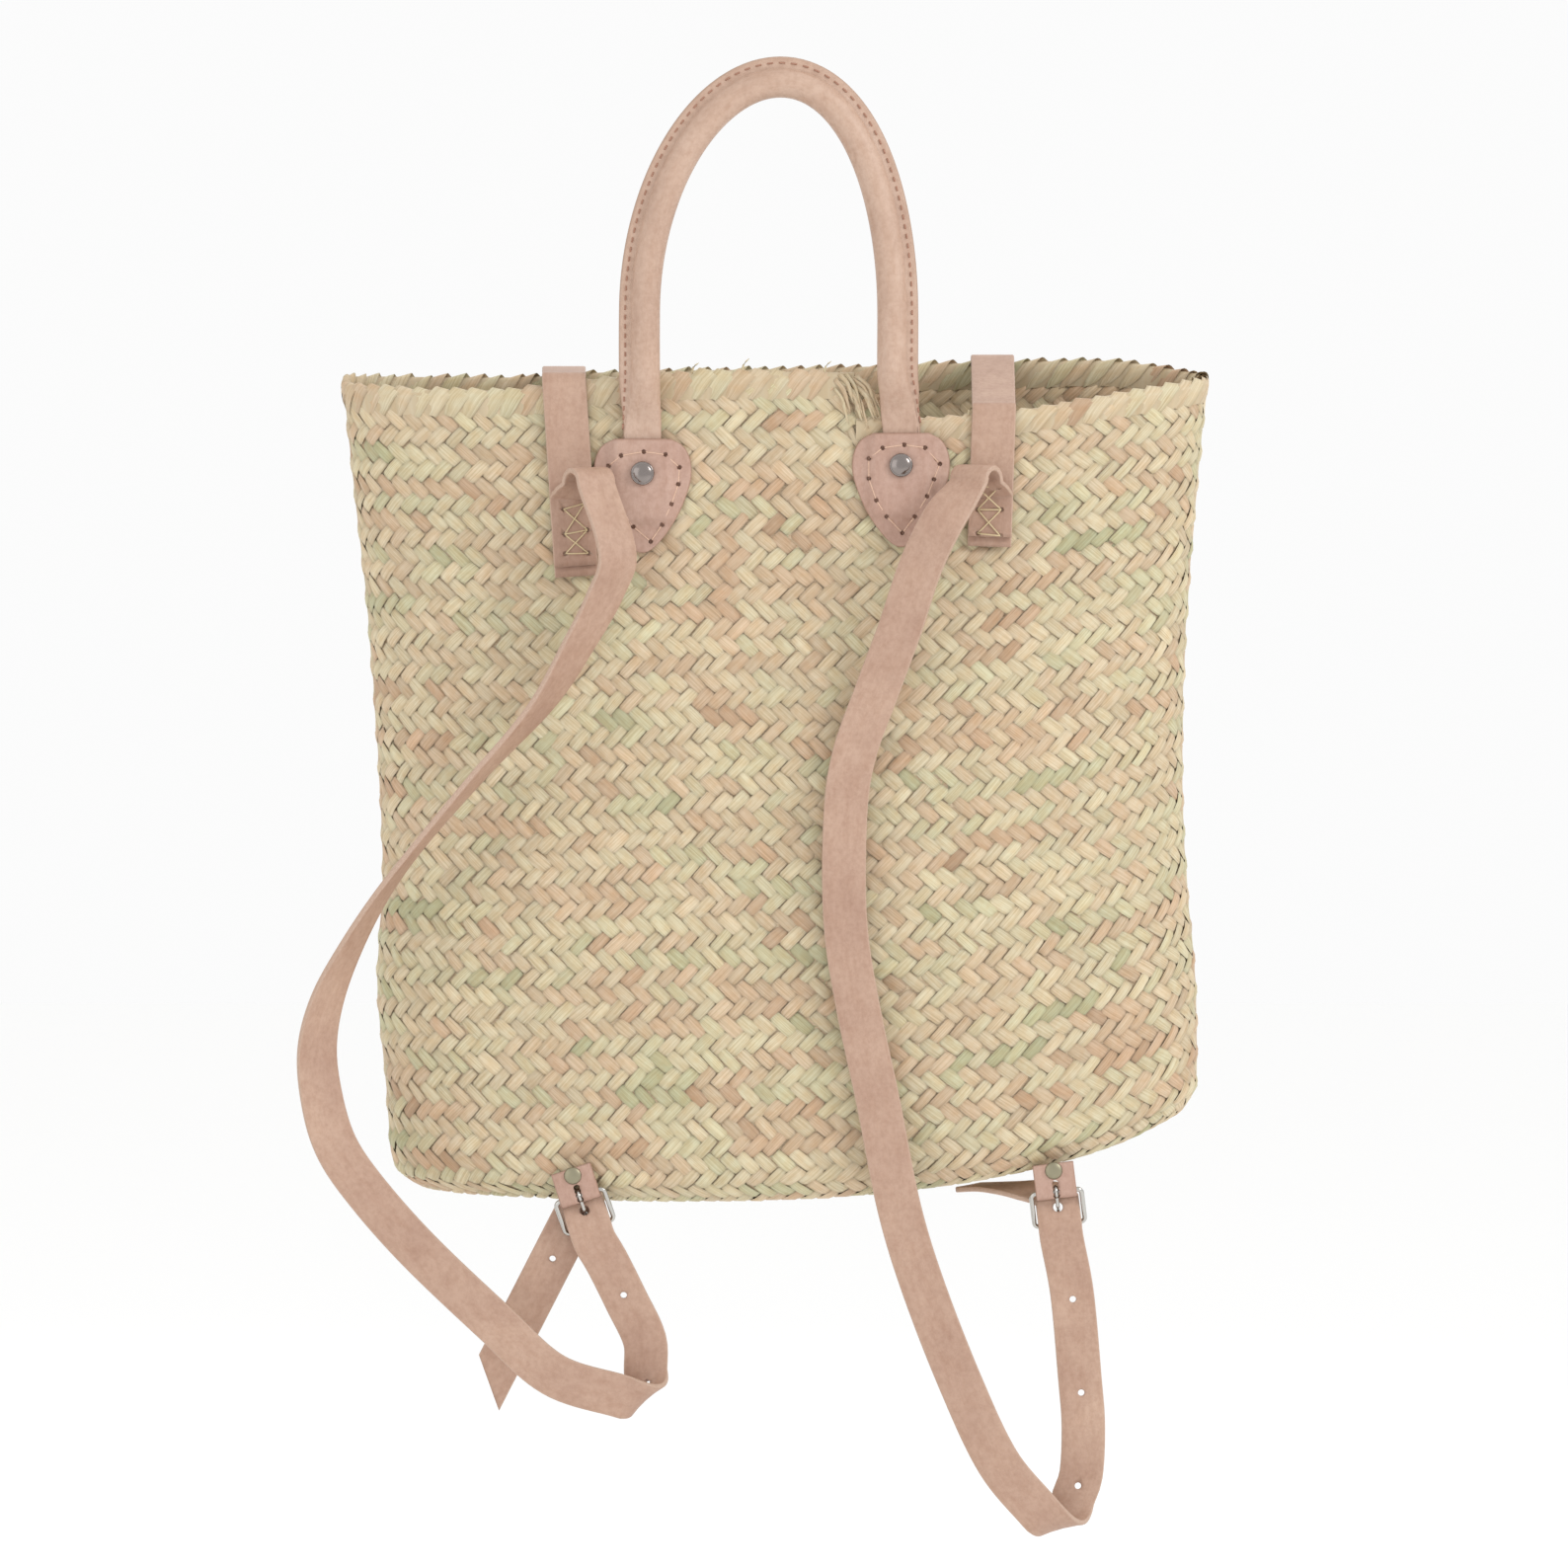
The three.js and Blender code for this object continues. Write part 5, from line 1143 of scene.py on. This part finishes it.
def handle_tab(side):
    """The shield with its stitch holes, and the foremost middle of each hole."""
    down = np.concatenate([[0, 0.008, 0.025], np.linspace(0.05, 0.97, 34), [0.985, 0.995, 1]])
    half = follow(TAB_OUTLINE, "down", "half", down) * TAB_WIDTH / 2
    s = np.sin(np.linspace(-np.pi / 2, np.pi / 2, TAB_COLUMNS))[None] * half[:, None]
    x, z = tab_middle(side) + s, np.repeat(tab_height(side, down * TAB_HEIGHT)[:, None], TAB_COLUMNS, 1)
    edge = np.minimum(half[:, None] - np.abs(s), np.minimum(down, 1 - down)[:, None] * TAB_HEIGHT)
    rounding = np.sqrt(np.clip(1 - (1 - np.clip(edge / EDGE_ROUNDING, 0, 1)) ** 2, 0, 1))
    front = tab_front(side, x, z) + TAB_MM * 0.55 * (1 - rounding)
    back = near_face(x, z) - GAP - tab_bulge(side, x, z) - TAB_MM * 0.3 * (1 - rounding)
    grid = np.concatenate([np.stack([x, back, z], -1), np.stack([x, front, z], -1)[:, ::-1]], 1)
    raw = np.concatenate([np.ones_like(edge), 1 - smooth(edge / 0.8)[:, ::-1]], 1)
    fibre = np.concatenate([np.stack([z, s, 0 * s], -1), np.stack([z, s, 0 * s + 3], -1)[:, ::-1]], 1)
    name = "handle_tab_" + side["name"]
    piece = swept("sewn_" + name, grid, fibre, raw, TAB_LEATHER, [name])
    holes = np.array(TAB_HOLES[side["name"]])
    x, z = tab_middle(side) + holes[:, 0], tab_height(side, holes[:, 1])
    spots = np.stack([x, tab_front(side, x, z), z], 1)
    punch(piece, [(spot + (0, -1, 0), spot + (0, 1.6, 0), STITCH_HOLE) for spot in spots])
    return spots


def tab_seam(side, spots):
    """Stitches from hole to hole round the shield, each in two halves that follow its bulge."""
    after = np.roll(spots, -1, 0)
    margin = unit(after - spots) * HOLE_MARGIN
    starts, ends = spots + margin, after - margin
    bent = (starts + ends) / 2
    bent[:, 1] = tab_front(side, bent[:, 0], bent[:, 2])
    halves = np.concatenate([np.stack([starts, bent], 1), np.stack([bent, ends], 1)])
    stitches("tab_seam_" + side["name"], halves, np.tile([0, -1, 0], (len(halves), 1)), 0.26, PALE_THREAD,
             bow=0.08, sink=0.1)


for side in SIDES:
    tab_seam(side, handle_tab(side))

# %% [markdown]
# ## Rivets, buckles and their tabs
# The rivets are turned: a profile of (r, h) spun round its axis. The buckle's frame is one closed wire,
# and its prong is a ring round the heel bar with a bent pin that passes the strap's hole.

# %% Rivets
def turned(name, profile, origin, axis, material, replaces, sides=40):
    """A surface of revolution about the axis through the origin from rows of (r, h), each end at r = 0."""
    profile, axis = np.array(profile, float), unit(np.array(axis, float))
    first = unit(np.cross(axis, (0, 0, 1)))
    second = np.cross(axis, first)
    angle = np.linspace(0, 2 * np.pi, sides, endpoint=False)
    ring = np.cos(angle)[:, None] * first + np.sin(angle)[:, None] * second
    grid = origin + profile[:, None, :1] * ring[None] + profile[:, None, 1:] * axis
    build(name, with_caps(grid), tube_faces(*grid.shape[:2]), material, None, replaces)


RIVET_HEAD, RIVET_SEAT, TAB_RIVET_UP = 5.4, GAP * 3 + TAB_MM + TONGUE_MM, BUCKLE_TAB_HEIGHT * 0.76
DOMED_RIVET = [
    (0.05, 2.35), (1.5, 2.3), (3, 2.0), (4.1, 1.45), (4.35, 1.3), (4.6, 1.42), (5, 1.4), (5.3, 1.05),
    (RIVET_HEAD, 0.5), (5.3, 0.05), (4.9, -0.2), (1.8, -0.3), (1.8, -9.5), (3.9, -9.6), (3.9, -10.4),
    (0.05, -10.5),
]
FLAT_RIVET = [
    (0.05, 1.1), (1.6, 1.0), (3, 0.65), (3.7, 0.25), (4, -0.1), (3.8, -0.35), (1.7, -0.4), (1.7, -4.6),
    (0.05, -4.7),
]
for side in SIDES:
    x, z = tab_middle(side), tab_height(side, TAB_HEIGHT * side["rivet_down"])
    upright = [float(near_face(x, z + RIVET_HEAD * share)) for share in (-1, -0.5, 0.5, 1)]
    face = min(near_clear(x, z, RIVET_HEAD), *upright)
    name = "handle_rivet_" + side["name"]
    turned("domed_" + name, DOMED_RIVET, np.array([x, face - RIVET_SEAT, z]), (0, -1, 0), DARK_STEEL,
           [name])
    seat = in_buckle(side, (0, TAB_RIVET_UP, TAB_PRESS + BUCKLE_TAB_MM / 2 + GAP))
    name = "tab_rivet_" + side["name"]
    turned("flat_" + name, FLAT_RIVET, seat, (0, -1, 0), DULL_METAL, [name], sides=28)

# %% Buckle tabs, frames and prongs
SLOT_RADIUS, RIVET_HOLE = 1.5, 2.1


def wire(centres, facing, radius, sides, closed):
    """Points and faces of a wire: a circle of the given radius swept along the centres."""
    ring_step = np.roll(centres, -1, 0) - np.roll(centres, 1, 0)
    tangent = unit(ring_step if closed else np.gradient(centres, axis=0))
    side = unit(np.cross(tangent, facing))
    up = np.cross(side, tangent)
    angle = np.linspace(0, 2 * np.pi, sides, endpoint=False)
    grid = centres[:, None] + radius * (np.cos(angle)[None, :, None] * side[:, None]
                                        + np.sin(angle)[None, :, None] * up[:, None])
    return with_caps(grid), tube_faces(len(centres), sides, closed)


def buckle_tab(side):
    """The folded tab round the heel bar, with the prong's slot and the rivet's hole."""
    leg = [(BUCKLE_TAB_HEIGHT, TAB_PRESS), (BUCKLE_TAB_HEIGHT * 0.44, TAB_PRESS),
           (BUCKLE_TAB_HEIGHT * 0.2, TAB_BEND * 0.82)]
    rows = [(v, -n) for v, n in leg]
    rows += [(-np.sin(a) * TAB_BEND, -np.cos(a) * TAB_BEND) for a in np.linspace(0, np.pi, 8)]
    rows += leg[::-1]
    across = buckle_axes(side)[1][0]
    stations = [(*in_buckle(side, (0, v, n)), *across) for v, n in rows]
    centres, wide = through(stations, 1.2)
    name = "buckle_tab_" + side["name"]
    piece = strap("folded_" + name, centres, wide, BUCKLE_TAB_WIDTH, BUCKLE_TAB_MM, TAB_LEATHER,
                  [name])[0]
    holes = [(v, SLOT_RADIUS) for v in (-1.6, 0.4, 2.4, 4.0)] + [(TAB_RIVET_UP, RIVET_HOLE)]
    punch(piece, [(in_buckle(side, (0, v, -5)), in_buckle(side, (0, v, 5)), radius) for v, radius in holes])


def buckle_frame(side):
    """One closed wire in the frame's own plane, with rounded corners."""
    corner = WIRE * 1.9
    side_u, far_v = BUCKLE_WIDTH / 2 - WIRE - corner, corner - BUCKLE_LENGTH
    outline = []
    corners = [(side_u, -corner), (-side_u, -corner), (-side_u, far_v), (side_u, far_v)]
    for number, (u, v) in enumerate(corners):
        for angle in np.radians(90 * number + np.linspace(0, 90, 8)):
            outline.append(frame_point(u + np.cos(angle) * corner, v + np.sin(angle) * corner))
    facing = frame_point(0, 0, 1) @ buckle_axes(side)[1]
    points, faces = wire(in_buckle(side, outline), facing, WIRE, 16, closed=True)
    name = "buckle_frame_" + side["name"]
    build("wire_" + name, points[:-2], faces, NICKEL, None, [name])


def buckle_prong(side):
    """A ring round the heel bar and a pin through the strap's hole to the frame's far bar."""
    ring_radius = WIRE + GAP + PRONG
    angle = np.linspace(0, 2 * np.pi, 28, endpoint=False)
    loop = np.stack([0 * angle, np.cos(angle) * ring_radius, np.sin(angle) * ring_radius], 1)
    across = buckle_axes(side)[1][0]
    points, faces = wire(in_buckle(side, loop), across, PRONG, 12, closed=True)
    bar = frame_point(0, -BUCKLE_LENGTH)
    clear = STRAP_LEATHER_MM / 2 + GAP + PRONG
    front, behind = strap_depth(PRONG_HOLE) + clear, strap_depth(PRONG_HOLE) - clear
    route = np.array([
        (0, -ring_radius, 0.4), (0, PRONG_HOLE * 0.72, front * 0.9), (0, PRONG_HOLE + PRONG, front),
        (0, PRONG_HOLE, (front + behind) / 2), (0, PRONG_HOLE - PRONG, behind),
        (0, bar[1] - WIRE, min(bar[2] - WIRE - GAP - PRONG, behind)),
    ])
    stations = np.concatenate([in_buckle(side, route), np.tile(across, (len(route), 1))], 1)
    pin, pin_faces = wire(through(stations, 0.9)[0], across, PRONG, 12, closed=False)
    name = "buckle_prong_" + side["name"]
    faces += [f + len(points) - 2 for f in pin_faces]
    build("bent_" + name, np.concatenate([points[:-2], pin]), faces, NICKEL, None, [name])


for side in SIDES:
    buckle_tab(side)
    buckle_frame(side)
    buckle_prong(side)

# %% [markdown]
# ## The rim and the braid's end
# Along the rim every strand of the plait comes up slanting, folds over the edge and goes down inside.
# Where the braid ends, its loose golden strands fan out over the wall.

# %% Strands over the rim
RIM_FOLD = {
    "share": [0, 0.14, 0.28, 0.4, 0.46, 0.5, 0.54, 0.6, 0.72, 0.86, 1.0],
    "fall": [0.95, 0.35, -0.12, -0.4, -0.55, -0.6, -0.55, -0.4, 0.0, 0.45, 0.9],
    "lift": [-0.5, 0.45, 0.7, 0.5, -0.2, -1.4, -2.6, -3.4, -3.7, -3.5, -2.9],
}
STEP_MARGIN, STRAND_SPAN, HALF_STRAND, STRAND_FIBRE = 0.6, 2.1, 0.56, 22
CORE_MIDDLE, CORE_SHARE, CORE_SINK = -1.4, 0.9, 0.35


def rim_strands():
    """One slanted strand to each column: s runs from outside over the edge to inside, t across it."""
    s, fall, lift = [np.array(column)[None, :, None] for column in RIM_FOLD.values()]
    t = np.array([-1, -0.5, 0.5, 1])[None, None]
    starts = np.arange(0.35, COLUMNS - 2.3, 1.0) * PITCH + RNG.normal(0, 0.35, COLUMNS - 2)
    wander = RNG.normal(0, 1, (4, len(starts)))[..., None, None]
    u = starts[:, None, None] + (s * STRAND_SPAN * PITCH) * (1 + 0.06 * wander[0])
    u = u + t * PITCH * HALF_STRAND * (1 - 0.35 * (2 * s - 1) ** 6)
    v = fall * ROW + t * ROW * 0.16 + 0.25 * wander[1]
    height = lift + 0.2 * t - 0.16 * t**4 + 0.12 * wander[2]
    points = surface(np.clip(u, STEP_MARGIN, AROUND - STEP_MARGIN), v, height)
    rows, columns = u.shape[1:]
    stride = rows * columns
    faces = sheet_faces(rows, columns)[None] + (np.arange(len(starts)) * stride)[:, None, None]
    hue = np.repeat(np.clip(0.5 + 0.16 * wander[3], 0, 1), stride)
    spot = RNG.uniform(0, FIBRE_SPREAD, (len(starts), 1, 1))
    fibre = np.stack(np.broadcast_arrays(s * STRAND_FIBRE + spot, t * FIBRE_ACROSS, spot), -1)
    # Painted shade: each strand is darker towards its sides and both its ends, where it meets its neighbours
    # and dives into the wall.
    tone_and_painted_shade = (1 - 0.12 * t**4 - 0.1 * (2 * s - 1) ** 8) * np.ones_like(u)
    build("rim_strands", points, [faces.reshape(-1, 4)], STRAW,
          {"hue": hue, "fibre": fibre.reshape(-1, 3), "tone_and_painted_shade": tone_and_painted_shade.ravel()})


def rim_core():
    """A plain fold of straw just inside the strands, which closes the gaps between them."""
    share, fall, lift = [np.array(column) for column in RIM_FOLD.values()]
    u = np.linspace(STEP_MARGIN, AROUND - STEP_MARGIN, 2 * COLUMNS + 1)[:, None] * np.ones(len(share))
    v = np.broadcast_to(fall * ROW + CORE_SINK, u.shape)
    inner = np.broadcast_to(CORE_MIDDLE + (lift - CORE_MIDDLE) * CORE_SHARE, u.shape)
    quads = sheet_faces(*u.shape)[:, [0, 3, 2, 1]]
    # Painted shade: the fold is painted at 0.9 of its colour, as it lies recessed between the strands.
    straw_sheet("rim_core", surface(u, v, inner), quads, u, 0 * u, STRAW, hue=0.5, tone_and_painted_shade=0.9)


rim_strands()
rim_core()


# %% Loose strands
def loose_strands(name, paths, widths, hues):
    """Thin straw blades along paths of (x, y, z) rows, tapering to their tips."""
    all_points, all_faces, values = [], [], {"hue": [], "fibre": [], "tone_and_painted_shade": []}
    count = 0
    for path, width, hue in zip(paths, widths, hues):
        stations = np.concatenate([path, np.tile([0.5, -0.15, 0.85], (len(path), 1))], 1)
        centres, across = through(stations, 2.2)
        share = np.linspace(0, 1, len(centres))
        taper = (1 - 0.75 * share**3)[:, None, None]
        section = np.array([(-0.5, -0.12), (0, -0.3), (0.5, -0.12), (0.5, 0.12), (0, 0.1), (-0.5, 0.12)])
        grid = sweep_points(centres, across, section[None] * np.array([width, 1.0]) * taper)[0]
        points = with_caps(grid)
        all_points.append(points)
        all_faces += [f + count for f in tube_faces(*grid.shape[:2])]
        count += len(points)
        length = np.repeat(share * 30 + RNG.uniform(0, FIBRE_SPREAD), len(section))
        fibre = np.stack([length, np.tile(section[:, 0] * 5, len(centres)), 0 * length], 1)
        values["fibre"].append(np.concatenate([fibre, fibre[:1], fibre[-1:]]))
        values["hue"].append(np.full(len(points), hue))
        values["tone_and_painted_shade"].append(np.full(len(points), 1.0))
    build(name, np.concatenate(all_points), all_faces, STRAW,
          {key: np.concatenate(rows) for key, rows in values.items()})


def wall_path(xs, zs, lifts):
    """A path over the near wall, lifted off it by the given millimetres."""
    xs, zs = np.array(xs, float), np.array(zs, float)
    return np.stack([xs, near_face(xs, np.minimum(zs, -1)) - np.array(lifts), zs], 1)


FAN = {
    "strands": 18, "top": 2.5, "spacing": 0.4, "x": (27, 37), "drop": (12, 21), "reach": (6, 13),
    "lift": (1.2, 2.6), "width": (0.8, 2.4), "hue": (0.42, 0.62),
}
RIM_ENDS, RIM_END_WIDTH, RIM_END_HUE = [(-38, 4.5), (-15, 6), (22.5, 5), (-96, 3), (88, 3.5)], 1.1, 0.35
paths, widths, strand_hues = [], [], []
for number in range(FAN["strands"]):
    x, z = RNG.uniform(*FAN["x"]), FAN["top"] - number * FAN["spacing"] + RNG.normal(0, 0.6)
    drop, reach = RNG.uniform(*FAN["drop"]), RNG.uniform(*FAN["reach"])
    lift = RNG.uniform(*FAN["lift"])
    paths.append(wall_path([x, x + reach * 0.55, x + reach * 0.75, x + reach],
                           [z, z - drop * 0.3, z - drop * 0.62, z - drop], [0.6, lift, lift + 0.5, 0.8]))
    widths.append(RNG.uniform(*FAN["width"]))
    strand_hues.append(RNG.uniform(*FAN["hue"]))
for x, height in RIM_ENDS:
    near_rim = rim_height(x / HALF_MOUTH, True)
    y = float(near_face(x, near_rim - 4)) + 1.5
    paths.append(np.array([(x, y, near_rim - 3), (x + 0.8, y - 0.6, near_rim + height * 0.5),
                           (x + 3.4, y - 1, near_rim + height)]))
    widths.append(RIM_END_WIDTH)
    strand_hues.append(RIM_END_HUE)
loose_strands("loose_strands", paths, widths, strand_hues)

# %% [markdown]
# ## Sewn patches
# Pale yellow thread holds each shoulder strap's end to the strap over the rim: two crosses with a bar
# above, between and below.

# %% Patch stitches
PATCHES = {
    "left": [
        ((-96.1, -59), (-86.6, -56.3)), ((-95.6, -70.4), (-85.3, -68.4)), ((-95.2, -79.2), (-84.8, -79)),
    ],
    "right": [
        ((92, -48.6), (102.2, -48.6)), ((92.5, -59.2), (103.3, -59.2)), ((92.5, -70), (102.8, -71.1)),
    ],
}


def patch_point(side, x, z):
    """The outer face of the sewn end at x and z: its depth follows the strap's own centres."""
    centres = SHOULDER[side["name"]][1]
    rising = centres[:int(np.argmax(centres[:, 2]))]
    return np.array([x, np.interp(z, rising[:, 2], rising[:, 1]) - STRAP_LEATHER_MM / 2 - 0.1, z])


for side in SIDES:
    bars = [[patch_point(side, *spot) for spot in bar] for bar in PATCHES[side["name"]]]
    pairs = [tuple(bar) for bar in bars]
    for upper, lower in zip(bars[:-1], bars[1:]):
        pairs += [(upper[0], lower[1]), (upper[1], lower[0])]
    spots = [spot for bar in bars for spot in bar]
    punch(SHOULDER[side["name"]][0], [(spot + (0, -1.5, 0), spot + (0, 1.3, 0), 1.1) for spot in spots])
    stitches("patch_thread_" + side["name"], pairs, np.tile([0, -1, 0], (len(pairs), 1)), 0.32,
             YELLOW_THREAD, bow=0.5, sink=0.8)

# %% [markdown]
# ## Camera, light and backdrop
# The photograph looks straight at the near wall with a long lens, from very slightly above, in soft
# even studio light. The camera stands five metres off, and large soft lamps stand round the bag.

# %% Camera and studio
VIEW_WIDTH, VIEW_DISTANCE, CAMERA_RISE, SENSOR = 0.7146, 5.0, 3.5, 36
AIM, LAMP_TARGET, WORLD_LIGHT = (0.0043, -0.008, -0.184), (0, 0.05, -0.3), 0.97
aim = Vector(AIM) - Vector((HANG_POINT[0], 0, HANG_POINT[2])) * METRES
camera_data = bpy.data.cameras.new("camera")
camera_data.sensor_width = SENSOR
camera_data.lens = SENSOR * VIEW_DISTANCE / VIEW_WIDTH
camera = bpy.data.objects.new("camera", camera_data)
rise = np.radians(CAMERA_RISE)
camera.location = aim + Vector((0, -np.cos(rise), np.sin(rise))) * VIEW_DISTANCE
camera.rotation_mode = "QUATERNION"
camera.rotation_quaternion = (aim - camera.location).to_track_quat("-Z", "Y")
bpy.context.scene.collection.objects.link(camera)
bpy.context.scene.camera = camera


def lamp(name, place, size, power):
    """A soft square lamp that faces the bag; place and size in metres, power in watts."""
    light = bpy.data.lights.new(name, "AREA")
    light.size, light.energy = size, power
    lamp_object = bpy.data.objects.new(name, light)
    lamp_object.location = place
    lamp_object.rotation_euler = (Vector(LAMP_TARGET) - Vector(place)).to_track_quat("-Z", "Y").to_euler()
    bpy.context.scene.collection.objects.link(lamp_object)


lamp("key_lamp", (1.9, -1.3, 1.0), size=0.9, power=24)
lamp("fill_lamp", (-1.6, -1.6, 0.1), size=1.8, power=8)
lamp("top_lamp", (0.2, 0.1, 1.7), size=1.2, power=2)
lamp("back_lamp", (0.4, 1.7, 0.9), size=1.6, power=5)
world = bpy.context.scene.world or bpy.data.worlds.new("studio")
bpy.context.scene.world = world
world.use_nodes = True
background = world.node_tree.nodes["Background"]
background.inputs["Color"].default_value = WHITE
background.inputs["Strength"].default_value = WORLD_LIGHT
bpy.context.scene.view_settings.view_transform = "Standard"

FLOOR_REACH, FLOOR_BELOW = 6.0, -0.9
floor_mesh = bpy.data.meshes.new("floor")
floor_mesh.from_pydata(
    [(x * FLOOR_REACH, y * FLOOR_REACH, FLOOR_BELOW) for x, y in [(-1, -1), (1, -1), (1, 1), (-1, 1)]],
    [], [(0, 1, 2, 3)])
floor = bpy.data.objects.new("floor", floor_mesh)
bpy.context.scene.collection.objects.link(floor)
paper = Nodes("pale_floor")
paper.put(paper.shader, "Base Color", (0.99, 0.99, 0.985, 1))
paper.put(paper.shader, "Roughness", 1.0)
floor_mesh.materials.append(paper.material)
